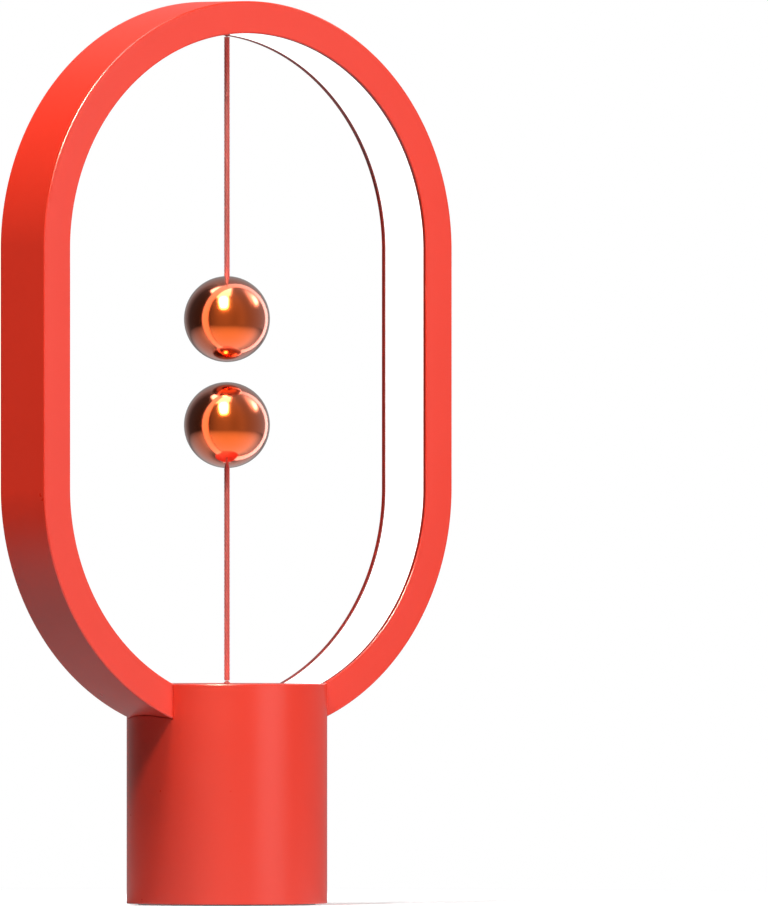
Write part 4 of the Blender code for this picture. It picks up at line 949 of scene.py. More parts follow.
def seat(obj: bpy.types.Object, finish: Finish, nodes: Sequence[str]) -> bpy.types.Object:
    """Finishes a piece, gives it its material and puts it in the place of its CAD nodes.

    Args:
        obj: The piece.
        finish: Its finish.
        nodes: The CAD nodes that it stands for, the first of which says its body.

    Returns:
        The piece.
    """
    if obj.type == "MESH":
        Bench.shade(obj)
        Bench.mark_edge_wear_and_shade(obj)
    obj.data.materials.clear()
    obj.data.materials.append(finish.material())
    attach(obj, body_of(nodes[0]))
    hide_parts(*nodes)
    log.info("%s stands for %s", obj.name, ", ".join(nodes))
    return obj


# ---------------------------------------------------------------- the light ring


@dataclass
class LightRing:
    """The oval ring: a tray that opens to the back, its cover and the glowing strip inside."""

    radius: float = 103.0 * MM
    straight: float = 99.0 * MM
    band: float = 13.4 * MM
    depth: float = 32.2 * MM
    wall: float = 2.0 * MM
    rim: float = 1.2 * MM
    low_z: float = 173.0 * MM
    gap: float = 0.3 * MM
    outer_round: float = 0.7 * MM
    inner_round: float = 0.2 * MM
    front_inner_round: float = 0.6 * MM
    diffuser_recess: float = 0.3 * MM
    diffuser_wall: float = 1.5 * MM
    diffuser_flange: float = 6.0 * MM
    flange_wall: float = 1.2 * MM
    diffuser_gap: float = math.radians(8.0)
    sides: int = 258
    hanger_radius: float = 4.0 * MM
    hanger_thickness: float = 1.2 * MM
    neck_radius: float = 1.5 * MM
    bead_radius: float = 1.3 * MM
    rod_hole: float = 3.0 * MM
    screw_hole: float = 1.8 * MM
    wire_hole: float = 1.9 * MM
    screw_offset: float = 10.0 * MM
    wire_offset: float = 17.15 * MM

    @property
    def half(self) -> float:
        """Half the ring's depth."""
        return self.depth / 2

    @property
    def inner(self) -> float:
        """The radius of the ring's inner edge."""
        return self.radius - self.band

    @property
    def centre(self) -> Vector:
        """The middle of the lower arc."""
        return Vector((0.0, 0.0, self.low_z))

    @property
    def top_z(self) -> float:
        """The height of the upper arc's middle."""
        return self.low_z + self.straight

    def oval(self, name: str, section: Section, closed: bool = True) -> bpy.types.Object:
        """A section carried round the lower circle, ready to be raised into the oval."""
        return Bench.swept(name, section, Axis.DEPTH, self.centre, self.sides, closed)

    def stretch(self, obj: bpy.types.Object) -> None:
        """Raises the upper half of a round piece by the oval's straight length."""
        Bench.pick_points(obj, lambda place: place.z > self.low_z)
        bpy.ops.transform.translate(value=(0.0, 0.0, self.straight))
        bpy.ops.object.mode_set(mode="OBJECT")

    def round_corners(
        self, obj: bpy.types.Object, corners: Iterable[tuple[float, float]], width: float
    ) -> None:
        """Rounds corners of a section that was carried round the lower circle."""
        Bench.soften(obj, corners, width, 4, Axis.DEPTH, self.centre)

    def on_lip(self, middle: Vector, normal: Vector) -> bool:
        """Says whether a face is on one of the lips beside the diffuser, which lie in its shade; they
        get painted shade.
        """
        height = max(0.0, min(self.straight, middle.z - self.low_z))
        out = middle - self.centre - Vector((0.0, middle.y, height))
        return out.length < self.inner + 0.05 * MM and abs(normal.y) < 0.1

    def bottom_hole(self, radius: float, offset: float) -> bpy.types.Object:
        """A cutter for a hole through the lowest part of the ring."""
        low = self.low_z - self.radius - 6.0 * MM
        high = self.low_z - self.inner
        return Bench.swept(
            "hole", [(radius, low), (radius, high)], centre=Vector((offset, 0.0, 0.0)), sides=32
        )

    def shell(self) -> bpy.types.Object:
        """The tray: front face, outer band and the lip that the rear cover sits in."""
        ledge = self.half - self.wall - self.gap
        section = [
            (self.inner, -self.half),
            (self.radius, -self.half),
            (self.radius, self.half),
            (self.radius - self.rim, self.half),
            (self.radius - self.rim, ledge),
            (self.radius - self.wall, ledge),
            (self.radius - self.wall, -self.half + self.wall),
            (self.inner, -self.half + self.wall),
        ]
        obj = self.oval("frame_shell_moulding", section)
        self.round_corners(obj, section[1:3], self.outer_round)
        self.round_corners(obj, section[:1], self.front_inner_round)
        self.round_corners(obj, section[3:4], self.inner_round / 2)
        self.stretch(obj)
        Bench.cut(
            obj,
            self.bottom_hole(self.rod_hole, 0.0),
            self.bottom_hole(self.screw_hole, self.screw_offset),
            self.bottom_hole(self.screw_hole, -self.screw_offset),
            self.bottom_hole(self.wire_hole, -self.wire_offset),
        )
        Bench.mark_shaded(obj, self.on_lip)
        return seat(obj, RED, ["frame_shell"])

    def rear_cover(self) -> bpy.types.Object:
        """The flat cover that closes the ring's back."""
        outer = self.radius - self.rim - self.gap
        section = [
            (self.inner, self.half - self.wall),
            (outer, self.half - self.wall),
            (outer, self.half),
            (self.inner, self.half),
        ]
        obj = self.oval("rear_cover_plate", section)
        self.round_corners(obj, section[3:], self.inner_round)
        self.round_corners(obj, section[2:3], self.inner_round / 2)
        self.stretch(obj)
        Bench.mark_shaded(obj, self.on_lip)
        return seat(obj, RED, ["frame_rear_cover"])

    def diffuser(self) -> bpy.types.Object:
        """The milky inner band that the light comes through, open at the foot of the ring."""
        inner = self.inner + self.diffuser_recess
        wall = inner + self.diffuser_wall
        flange = inner + self.diffuser_flange
        half = self.half - self.wall - self.gap
        inside = half - self.flange_wall
        section = [
            (inner, -half),
            (inner, half),
            (flange, half),
            (flange, inside),
            (wall, inside),
            (wall, -inside),
            (flange, -inside),
            (flange, -half),
        ]
        obj = self.oval("diffuser_band", section)
        self.round_corners(obj, section[:2], self.inner_round / 2)
        self.stretch(obj)
        reach = inner * math.sin(self.diffuser_gap)
        foot = Bench.block(
            "foot_gap",
            (-reach, -self.half, self.low_z - self.radius),
            (reach, self.half, self.low_z - inner / 2),
        )
        neck = Bench.swept(
            "neck_hole",
            [
                (self.neck_radius + 2 * self.gap, self.top_z + inner / 2),
                (self.neck_radius + 2 * self.gap, self.top_z + wall + self.gap),
            ],
            sides=32,
        )
        Bench.cut(obj, foot, neck)
        return seat(obj, MILK, ["diffuser"])

    def hanger(self) -> bpy.types.Object:
        """The small button in the ring's top that the upper cord's bead hangs in."""
        bottom = self.top_z + self.inner + self.bead_radius + self.gap
        low = self.top_z + self.inner + self.diffuser_recess + self.diffuser_wall + self.gap
        high = low + self.hanger_thickness
        section = [
            (self.neck_radius, bottom),
            (self.neck_radius, low),
            (self.hanger_radius, low),
            (self.hanger_radius, high),
        ]
        obj = Bench.swept("cord_hanger_button", section, sides=40)
        Bench.soften(obj, [section[0], section[3]], 0.2 * MM, 3)
        return seat(obj, WHITE, ["cord_hanger"])

    def build(self) -> None:
        """Makes the ring's visible pieces."""
        self.shell()
        self.rear_cover()
        self.diffuser()
        self.hanger()


# ---------------------------------------------------------------- the base


@dataclass
class RoundBase:
    """The base: housing, top cap, the cord's grommet, bottom cover and rubber foot."""

    ring: LightRing
    radius: float = 41.65 * MM
    height: float = 91.7 * MM
    lift: float = 0.4 * MM
    wall: float = 2.6 * MM
    edge: float = 0.4 * MM
    gap: float = 0.3 * MM
    cap_thickness: float = 2.5 * MM
    cap_edge: float = 1.2 * MM
    ledge_width: float = 1.4 * MM
    ledge_height: float = 1.5 * MM
    grommet_radius: float = 4.0 * MM
    grommet_flange_radius: float = 5.5 * MM
    grommet_flange: float = 1.0 * MM
    mouth_radius: float = 3.0 * MM
    mouth_depth: float = 1.2 * MM
    bore: float = 1.8 * MM
    foot_radius: float = 37.0 * MM
    foot_thickness: float = 1.5 * MM
    cover_thickness: float = 2.5 * MM
    boss_centre: float = 34.0 * MM
    boss_radius: float = 3.2 * MM
    boss_height: float = 20.0 * MM
    boss_count: int = 4
    pilot_radius: float = 1.55 * MM
    pilot_depth: float = 12.0 * MM
    rib_width: float = 2.0 * MM
    screw_head: float = 2.7 * MM
    screw_head_height: float = 1.6 * MM
    slot_half_width: float = 4.875 * MM
    slot_half_height: float = 1.95 * MM
    slot_z: float = 26.24 * MM
    slot_turn: float = math.radians(10.0)
    sides: int = 180

    @property
    def inner(self) -> float:
        """The housing's inner radius."""
        return self.radius - self.wall

    @property
    def cap_bottom(self) -> float:
        """The height of the top cap's underside."""
        return self.height - self.cap_thickness

    @property
    def cover_z(self) -> float:
        """The height of the bottom cover's underside."""
        return self.foot_thickness + self.gap

    @property
    def boss_bottom(self) -> float:
        """The height at which the screw bosses end."""
        return self.cover_z + self.cover_thickness + self.gap

    def boss_places(self) -> list[Vector]:
        """The middles of the screw bosses."""
        turns = [math.pi / self.boss_count * (1 + 2 * i) for i in range(self.boss_count)]
        return [
            Vector((self.boss_centre * math.cos(turn), self.boss_centre * math.sin(turn), 0.0))
            for turn in turns
        ]

    def ring_notch(self) -> bpy.types.Object:
        """A cutter for the ring's way into the base."""
        half = self.ring.half + self.gap
        reach = self.ring.radius + self.gap
        obj = self.ring.oval("ring_notch", [(reach, -half), (reach, half)], closed=False)
        self.ring.stretch(obj)
        return obj

    def socket_slot(self) -> bpy.types.Object:
        """A cutter for the charging socket's slot, in the housing's back."""
        width, height = self.slot_half_width, self.slot_half_height
        obj = Bench.swept("socket_slot", [(height, -5 * MM), (height, 5 * MM)], Axis.DEPTH, sides=42)
        for side in (-1.0, 1.0):
            Bench.pick_points(obj, lambda place, side=side: place.x * side > 1e-6)
            bpy.ops.transform.translate(value=(side * (width - height), 0.0, 0.0))
            bpy.ops.object.mode_set(mode="OBJECT")
        way = Matrix.Rotation(-self.slot_turn, 4, "Z")
        Bench.place(obj, way @ Matrix.Translation((0.0, self.radius, self.slot_z)))
        return obj

    def housing(self) -> bpy.types.Object:
        """The outer tube with its inner ledge and screw bosses, and the ring's notch cut in it."""
        ledge_top = self.cap_bottom - self.gap
        ledge = self.inner - self.ledge_width
        section = [
            (self.inner, self.height),
            (self.radius, self.height),
            (self.radius, self.lift),
            (self.inner, self.lift),
            (self.inner, ledge_top - self.ledge_height - self.ledge_width),
            (ledge, ledge_top - self.ledge_height),
            (ledge, ledge_top),
            (self.inner, ledge_top),
        ]
        obj = Bench.swept("base_housing_tube", section, sides=self.sides, closed=True)
        Bench.soften(obj, section[1:3], self.edge, 4)
        Bench.soften(obj, [section[0], section[3]], self.edge / 2, 2)
        for place in self.boss_places():
            post = Bench.swept(
                "boss",
                [
                    (self.boss_radius, self.boss_bottom),
                    (self.boss_radius, self.boss_bottom + self.boss_height),
                ],
                centre=place,
                sides=32,
            )
            turn = math.atan2(place.y, place.x)
            rib = Bench.block(
                "rib",
                (self.boss_centre, -self.rib_width / 2, self.boss_bottom + 2 * self.gap),
                (
                    self.inner + 2 * self.gap,
                    self.rib_width / 2,
                    self.boss_bottom + self.boss_height - 2 * self.gap,
                ),
            )
            Bench.place(rib, Matrix.Rotation(turn, 4, "Z"))
            pilot = Bench.swept(
                "pilot",
                [
                    (self.pilot_radius, self.boss_bottom - self.wall),
                    (self.pilot_radius, self.boss_bottom + self.pilot_depth),
                ],
                centre=place,
                sides=24,
            )
            Bench.join(obj, rib, post)
            Bench.cut(obj, pilot)
        Bench.cut(obj, self.ring_notch(), self.socket_slot())
        seat(obj, RED, ["base_housing"])
        Bench.round_normals(obj, self.radius)
        return obj

    def top_cap(self) -> bpy.types.Object:
        """The lid inside the housing's rim, cut away where the ring passes."""
        outer = self.inner - self.gap
        hole = self.grommet_radius + self.gap
        section = [
            (hole, self.height),
            (outer, self.height),
            (outer, self.cap_bottom),
            (hole, self.cap_bottom),
        ]
        obj = Bench.swept("base_top_lid", section, sides=self.sides, closed=True)
        Bench.soften(obj, section[:2], 0.2 * MM, 3)
        ring = self.ring
        half = ring.half + self.gap
        passing_section = [
            (ring.inner - self.gap, -half),
            (ring.inner - self.gap, half),
            (ring.radius + self.gap, half),
            (ring.radius + self.gap, -half),
        ]
        passing = ring.oval("ring_passing", passing_section)
        ring.stretch(passing)
        drop = ring.low_z - self.height + self.cap_edge
        reach = math.sqrt((ring.inner - self.gap) ** 2 - drop**2)
        side_half = ring.half + 2 * self.gap
        notches = [
            Bench.block(
                "cap_notch",
                (min(side * reach, side * self.radius), -side_half, self.cap_bottom - self.wall),
                (max(side * reach, side * self.radius), side_half, self.height + self.wall),
            )
            for side in (-1.0, 1.0)
        ]
        Bench.cut(obj, passing, *notches)
        return seat(obj, RED, ["base_top_cap"])

    def grommet(self) -> bpy.types.Object:
        """The collar in the lid that the cord comes out of."""
        low = self.cap_bottom - self.gap
        section = [
            (self.mouth_radius, self.height),
            (self.grommet_radius, self.height),
            (self.grommet_radius, low),
            (self.grommet_flange_radius, low),
            (self.grommet_flange_radius, low - self.grommet_flange),
            (self.bore, low - self.grommet_flange),
            (self.bore, self.height - self.mouth_depth),
        ]
        obj = Bench.swept("cord_grommet_collar", section, sides=64, closed=True)
        Bench.soften(obj, [section[0], section[1], section[6]], 0.2 * MM, 3)
        return seat(obj, RED, ["cord_grommet"])

    def bottom_cover(self) -> bpy.types.Object:
        """The plate that closes the base, with a seat for each screw."""
        outer = self.inner - self.gap
        top = self.cover_z + self.cover_thickness
        section = [(outer, self.cover_z), (outer, top)]
        obj = Bench.swept("bottom_cover_plate", section, sides=self.sides)
        Bench.soften(obj, section, 0.25 * MM, 2)
        for place in self.boss_places():
            seat_top = self.cover_z + self.screw_head_height
            hole = Bench.swept(
                "screw_seat",
                [
                    (self.screw_head, self.cover_z - self.wall),
                    (self.screw_head, seat_top),
                    (self.pilot_radius, seat_top),
                    (self.pilot_radius, top + self.wall),
                ],
                centre=place,
                sides=32,
            )
            Bench.cut(obj, hole)
        return seat(obj, BLACK, ["bottom_cover"])

    def foot(self) -> bpy.types.Object:
        """The rubber foot, with a shallow round hollow in its underside."""
        section = [(self.foot_radius, 0.0), (self.foot_radius, self.foot_thickness)]
        obj = Bench.swept("rubber_foot", section, sides=self.sides)
        Bench.soften(obj, section[:1], 0.3 * MM, 3)
        Bench.pick_faces(obj, lambda middle, normal: normal.z < -0.99)
        bpy.ops.mesh.inset(thickness=3.0 * MM)
        bpy.ops.mesh.inset(thickness=0.4 * MM, depth=-0.4 * MM)
        bpy.ops.object.mode_set(mode="OBJECT")
        return seat(obj, RUBBER, ["foot_pad"])

    def build(self) -> None:
        """Makes the base's visible pieces."""
        self.housing()
        self.top_cap()
        self.grommet()
        self.bottom_cover()
        self.foot()


# ---------------------------------------------------------------- balls and cords


@dataclass
class BallOnCord:
    """One ball with its cord and the bead that it swings on.

    Attributes:
        name: upper or lower, as in the CAD nodes' names.
        height: The ball's middle.
        pivot: The height of the bead.
        up: 1 where the cord leaves the ball upwards, and -1 where it leaves downwards.
    """

    name: str
    height: float
    pivot: float
    up: float
    radius: float = 17.85 * MM
    wall: float = 2.0 * MM
    bore: float = 1.34 * MM
    cord_radius: float = 1.15 * MM
    bead_radius: float = 1.3 * MM
    gap: float = 0.05 * MM
    stop_radius: float = 2.6 * MM
    ball_rings: int = 64
    lobes: int = 3
    climb: float = 1820.0
    strand_relief: float = 0.07 * MM
    cord_sides: int = 36
    cord_row: float = 0.26 * MM

    def ball(self) -> bpy.types.Object:
        """A hollow ball, open at one pole for its cord."""
        Bench.clear()
        bpy.ops.mesh.primitive_uv_sphere_add(
            segments=128,
            ring_count=self.ball_rings,
            radius=self.radius,
            location=(0.0, 0.0, self.height),
        )
        obj = Bench.fresh(f"{self.name}_copper_ball")
        Bench.settle(obj)
        pole = self.height + self.up * self.radius
        first = math.pi / self.ball_rings
        ring = self.radius * math.sin(first)
        Bench.pick_points(obj, lambda place: abs(place.z - pole) < 0.01 * MM)
        bpy.ops.mesh.delete(type="VERT")
        bpy.ops.mesh.select_mode(type="VERT")
        bpy.ops.mesh.select_non_manifold()
        edge_z = self.height + self.up * self.radius * math.cos(first)
        bore_z = self.height + self.up * math.sqrt(self.radius**2 - self.bore**2)
        bpy.ops.transform.translate(value=(0.0, 0.0, bore_z - edge_z))
        scale = self.bore / ring
        bpy.ops.transform.resize(value=(scale, scale, 1.0), center_override=(0.0, 0.0, bore_z))
        bpy.ops.mesh.select_all(action="DESELECT")
        bpy.ops.object.mode_set(mode="OBJECT")
        Bench.apply(obj, "SOLIDIFY", thickness=self.wall, offset=-1.0, use_even_offset=True)
        return seat(obj, COPPER, [f"{self.name}_ball_shell"])

    def cord(self) -> bpy.types.Object:
        """The braided cord from the bead into the ball, its strands crossing in relief."""
        inside = self.radius - self.wall
        stop = math.sqrt(inside**2 - self.stop_radius**2)
        ends = sorted(
            (self.pivot - self.up * (self.bead_radius + self.gap), self.height + self.up * stop)
        )
        length = ends[1] - ends[0]
        Bench.clear()
        bpy.ops.mesh.primitive_cylinder_add(
            vertices=self.cord_sides,
            radius=self.cord_radius,
            depth=length,
            location=(0.0, 0.0, sum(ends) / 2),
        )
        obj = Bench.fresh(f"{self.name}_braided_cord")
        Bench.settle(obj)
        Bench.pick_edges(obj, lambda a, b: abs(a.z - b.z) > length / 2)
        rows = max(1, round(length / self.cord_row / 100))
        bpy.ops.mesh.subdivide(number_cuts=99)
        bpy.ops.object.mode_set(mode="OBJECT")
        Bench.pick_edges(obj, lambda a, b: abs(a.z - b.z) > length / 500)
        bpy.ops.mesh.subdivide(number_cuts=rows - 1)
        bpy.ops.object.mode_set(mode="OBJECT")
        for vert in obj.data.vertices:
            turn = self.lobes * math.atan2(vert.co.y, vert.co.x)
            rise = self.climb * vert.co.z
            strand = max(abs(math.cos(turn + rise)), abs(math.cos(turn - rise)))
            scale = 1.0 - self.strand_relief / self.cord_radius * 3.4 * (1.0 - strand)
            vert.co.x *= scale
            vert.co.y *= scale
        seat(obj, CORD, [f"{self.name}_cord"])
        return obj

    def bead(self) -> bpy.types.Object:
        """The knot that the cord swings on: a bead with a turn of thread round it."""
        radius = self.bead_radius
        section = [
            (radius * 0.3, self.pivot - radius * 0.96),
            (radius * 0.85, self.pivot - radius * 0.5),
            (radius, self.pivot - radius * 0.22),
            (radius * 0.93, self.pivot - radius * 0.1),
            (radius * 0.93, self.pivot + radius * 0.1),
            (radius, self.pivot + radius * 0.22),
            (radius * 0.85, self.pivot + radius * 0.5),
            (radius * 0.3, self.pivot + radius * 0.96),
        ]
        obj = Bench.swept(f"{self.name}_cord_knot", section, sides=32)
        Bench.apply(obj, "BEVEL", width=0.08 * MM, segments=2, limit_method="ANGLE")
        return seat(obj, CORD, [f"{self.name}_bead"])

    def build(self) -> bpy.types.Object:
        """Makes the ball, its cord and its bead.

        Returns:
            The cord.
        """
        self.ball()
        self.bead()
        return self.cord()


@dataclass
class PullRod:
    """The switch's rod, whose top shows in the grommet."""

    radius: float = 1.5 * MM
    top: float = 90.1 * MM
    collar_radius: float = 4.0 * MM
    collar_height: float = 2.0 * MM
    tail: float = 3.0 * MM

    def build(self) -> None:
        """Makes the rod with its collar where the CAD node has them."""
        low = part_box("pull_rod")[0].z
        collar_low = low + self.tail
        section = [
            (self.radius, low),
            (self.radius, collar_low),
            (self.collar_radius, collar_low),
            (self.collar_radius, collar_low + self.collar_height),
            (self.radius, collar_low + self.collar_height),
            (self.radius, self.top),
        ]
        obj = Bench.swept("switch_pull_rod", section, sides=40)
        Bench.soften(obj, [section[0], section[5]], 0.25 * MM, 3)
        seat(obj, WHITE, ["pull_rod"])


# ---------------------------------------------------------------- the charging lead


@dataclass
class ChargingLead:
    """The lead that is plugged in at the back: its plugs, its run, its coil and the strap."""

    base_radius: float = 41.65 * MM
    gap: float = 0.3 * MM
    diameter: float = 3.5 * MM
    pitch: float = 4.0 * MM
    overmould_c: tuple[float, float, float] = (11.9 * MM, 20.0 * MM, 6.2 * MM)
    overmould_a: tuple[float, float, float] = (15.4 * MM, 20.2 * MM, 8.0 * MM)
    overmould_round: float = 2.8 * MM
    collar_radius: float = 2.75 * MM
    collar_end_radius: float = 2.6 * MM
    collar_length: float = 9.4 * MM
    shell_width: float = 12.0 * MM
    shell_height: float = 4.5 * MM
    shell_length: float = 11.8 * MM
    shell_wall: float = 0.35 * MM
    shell_back: float = 1.2 * MM
    window: float = 2.3 * MM
    window_offset: float = 2.6 * MM
    window_from_end: float = 3.4 * MM
    tongue_height: float = 1.8 * MM
    tongue_gap: float = 0.15 * MM
    strap_thickness: float = 0.6 * MM
    strap_width: float = 7.0 * MM
    strap_round: float = 1.0 * MM
    coil_centre: tuple[float, float] = (52.0 * MM, 57.0 * MM)
    coil_mean_radius: float = 20.0 * MM
    coil_layers: int = 4
    coil_turns_per_layer: float = 2.125
    coil_start_angle: float = math.radians(90.0)
    strap_angle: float = math.radians(-20.0)
    tail_edge_angle: float = math.radians(55.0)
    tail_turn_angle: float = math.radians(75.0)
    tail_radius: float = 15.0 * MM
    socket_angle: float = math.radians(10.0)
    socket_z: float = 26.24 * MM
    points_per_turn: int = 48
    span_steps: int = 24
    route: tuple[tuple[float, float, float], ...] = (
        (14.0 * MM, 77.6 * MM, 23.6 * MM),
        (16.4 * MM, 83.0 * MM, 18.3 * MM),
        (19.6 * MM, 87.2 * MM, 12.2 * MM),
        (23.6 * MM, 90.2 * MM, 7.0 * MM),
        (28.4 * MM, 91.4 * MM, 3.6 * MM),
        (33.4 * MM, 90.7 * MM, 2.7 * MM),
        (38.0 * MM, 88.4 * MM, 2.65 * MM),
        (41.6 * MM, 85.4 * MM, 2.65 * MM),
        (44.6 * MM, 82.8 * MM, 2.65 * MM),
    )
    length: float = field(default=0.0, init=False)

    @property
    def coil_floor(self) -> float:
        """The height of the lowest turns' middle."""
        return self.strap_thickness + self.gap + self.diameter / 2

    def smooth(self, route: Sequence[Vector], spacing: float) -> list[Vector]:
        """Points along a smooth curve through a route's own points.

        Args:
            route: The points to pass.
            spacing: The distance from point to point.

        Returns:
            The points.
        """
        padded = [route[0] * 2 - route[1], *route, route[-1] * 2 - route[-2]]
        fine = []
        for before, a, b, after in zip(padded, padded[1:], padded[2:], padded[3:]):
            for i in range(self.span_steps):
                t = i / self.span_steps
                bend = before * 2 - a * 5 + b * 4 - after
                rest = a * 3 - before - b * 3 + after
                fine.append((a * 2 + (b - before) * t + bend * t**2 + rest * t**3) / 2)
        fine.append(route[-1])
        return self.even(fine, spacing)

    @staticmethod
    def even(fine: Sequence[Vector], spacing: float) -> list[Vector]:
        """The same run with its points an even distance apart."""
        lengths = [(b - a).length for a, b in zip(fine, fine[1:])]
        total = sum(lengths)
        count = max(2, round(total / spacing))
        points = [fine[0]]
        travelled = 0.0
        target = total / count
        for a, b, length in zip(fine, fine[1:], lengths):
            while travelled + length >= target and len(points) < count:
                points.append(a.lerp(b, (target - travelled) / length))
                target += total / count
            travelled += length
        points.append(fine[-1])
        return points

    def coil_place(self, turn: float) -> Vector:
        """The middle of the lead at a turn of the coil, which winds clockwise seen from above."""
        layer_turn = 2 * math.pi * self.coil_turns_per_layer
        layer = min(self.coil_layers - 1, int(turn / layer_turn))
        share = turn / layer_turn - layer
        width = self.pitch * self.coil_turns_per_layer
        inward = share if layer % 2 == 0 else 1.0 - share
        radius = self.coil_mean_radius + width / 2 - width * inward
        level = 0.0
        for k in range(1, self.coil_layers):
            t = min(1.0, max(0.0, (turn - k * layer_turn) / math.pi + 1 / 2))
            level += t * t * (3 - 2 * t)
        angle = self.coil_start_angle - turn
        return Vector(
            (
                self.coil_centre[0] + radius * math.cos(angle),
                self.coil_centre[1] + radius * math.sin(angle),
                self.coil_floor + level * self.pitch,
            )
        )

    def coil_points(self) -> list[Vector]:
        """The coil's points, with a straight run of one diameter at each end."""
        turns = self.coil_turns_per_layer * self.coil_layers
        count = round(turns * self.points_per_turn)
        points = [self.coil_place(2 * math.pi * turns * i / count) for i in range(count + 1)]
        first = (points[0] - points[1]).normalized() * self.diameter
        last = (points[-1] - points[-2]).normalized() * self.diameter
        return [points[0] + first, *points, points[-1] + last]

    def tail_points(self, start: Vector, heading: Vector) -> tuple[list[Vector], Vector]:
        """From the coil's end up over its top layer and round to the long plug's collar.

        Args:
            start: Where the coil ends.
            heading: The lead's direction there.

        Returns:
            The points, and the direction at the last one.
        """
        climb = self.diameter / 2 + self.gap + self.overmould_a[2] / 2
        legs = (
            (self.coil_mean_radius + self.pitch, self.tail_edge_angle),
            (self.tail_radius, self.tail_turn_angle),
        )
        whole = sum(radius * turn for radius, turn in legs)
        steps = self.span_steps
        points = [start]
        place = start.copy()
        angle = math.atan2(heading.y, heading.x)
        travelled = 0.0
        for radius, turn in legs:
            for _ in range(steps):
                angle -= turn / steps
                travelled += radius * turn / steps
                t = travelled / whole
                way = Vector((math.cos(angle), math.sin(angle), 0.0))
                place = place + way * (radius * turn / steps)
                place.z = start.z + climb * t * t * (3 - 2 * t)
                points.append(place.copy())
        ahead = Vector((math.cos(angle), math.sin(angle), 0.0))
        points.append(place + ahead * self.diameter)
        return points, ahead

    def overmould(
        self, name: str, size: tuple[float, float, float], start: float
    ) -> bpy.types.Object:
        """A plug's overmould along +Y from a distance, its section rounded and its ends square.

        Args:
            name: The piece's name.
            size: Its width, length and height.
            start: Where it begins on the Y axis.

        Returns:
            The piece, still at the origin.
        """
        width, length, height = size
        obj = Bench.block(
            name, (-width / 2, start, -height / 2), (width / 2, start + length, height / 2)
        )
        Bench.bevel_where(
            obj, lambda a, b: abs(a.y - b.y) > length / 2, self.overmould_round, segments=10
        )
        ends = (start, start + length)
        Bench.bevel_where(
            obj,
            lambda a, b: any(abs(a.y - end) + abs(b.y - end) < 0.01 * MM for end in ends),
            0.35 * MM,
            segments=3,
        )
        return obj

    def collar(self, name: str, start: float, flipped: bool) -> bpy.types.Object:
        """The tapered collar between an overmould and the lead, along +Y from a distance."""
        ends = (self.collar_radius, self.collar_end_radius)
        low, high = reversed(ends) if flipped else ends
        section = [(low, start), (high, start + self.collar_length)]
        obj = Bench.swept(name, section, Axis.DEPTH, sides=48)
        Bench.soften(obj, section, 0.3 * MM, 3, Axis.DEPTH)
        return obj

    def long_shell(self, start: float) -> bpy.types.Object:
        """The long plug's folded metal shell with its four windows."""
        half_width, half_height = self.shell_width / 2, self.shell_height / 2
        end = start + self.shell_length
        obj = Bench.block(
            "usb_a_metal_shell", (-half_width, start, -half_height), (half_width, end, half_height)
        )
        Bench.bevel_where(obj, lambda a, b: abs(a.y - b.y) > self.shell_length / 2, 0.5 * MM, 4)
        wall = self.shell_wall
        hollow = Bench.block(
            "shell_hollow",
            (-half_width + wall, start + self.shell_back, -half_height + wall),
            (half_width - wall, end + self.shell_back, half_height - wall),
        )
        Bench.bevel_where(
            hollow, lambda a, b: abs(a.y - b.y) > self.shell_length / 2, 0.2 * MM, 2
        )
        middle = end - self.window_from_end - self.window / 2
        half = self.window / 2
        windows = []
        for side in (-1.0, 1.0):
            window = Bench.block(
                "shell_window",
                (side * self.window_offset - half, middle - half, -half_height - wall),
                (side * self.window_offset + half, middle + half, half_height + wall),
            )
            Bench.bevel_where(window, lambda a, b: abs(a.z - b.z) > half_height, 0.25 * MM, 3)
            windows.append(window)
        Bench.cut(obj, hollow, *windows)
        return obj

    def long_tongue(self, start: float) -> bpy.types.Object:
        """The plastic tongue inside the long plug, with its four contact grooves."""
        clear = self.shell_wall + self.tongue_gap
        high = self.shell_height / 2 - clear
        half_width = self.shell_width / 2 - clear
        low_y = start + self.shell_back + self.tongue_gap
        high_y = start + self.shell_length - self.shell_back
        obj = Bench.block(
            "usb_a_plastic_tongue",
            (-half_width, low_y, high - self.tongue_height),
            (half_width, high_y, high),
        )
        Bench.bevel_where(obj, lambda a, b: a.y > high_y - MM and b.y > high_y - MM, 0.25 * MM, 2)
        for place in (-3.6 * MM, -1.2 * MM, 1.2 * MM, 3.6 * MM):
            groove = Bench.block(
                "contact_groove",
                (place - 0.5 * MM, low_y + MM, high - self.tongue_height - MM),
                (place + 0.5 * MM, high_y - 0.8 * MM, high - self.tongue_height + 0.25 * MM),
            )
            Bench.cut(obj, groove)
        return obj

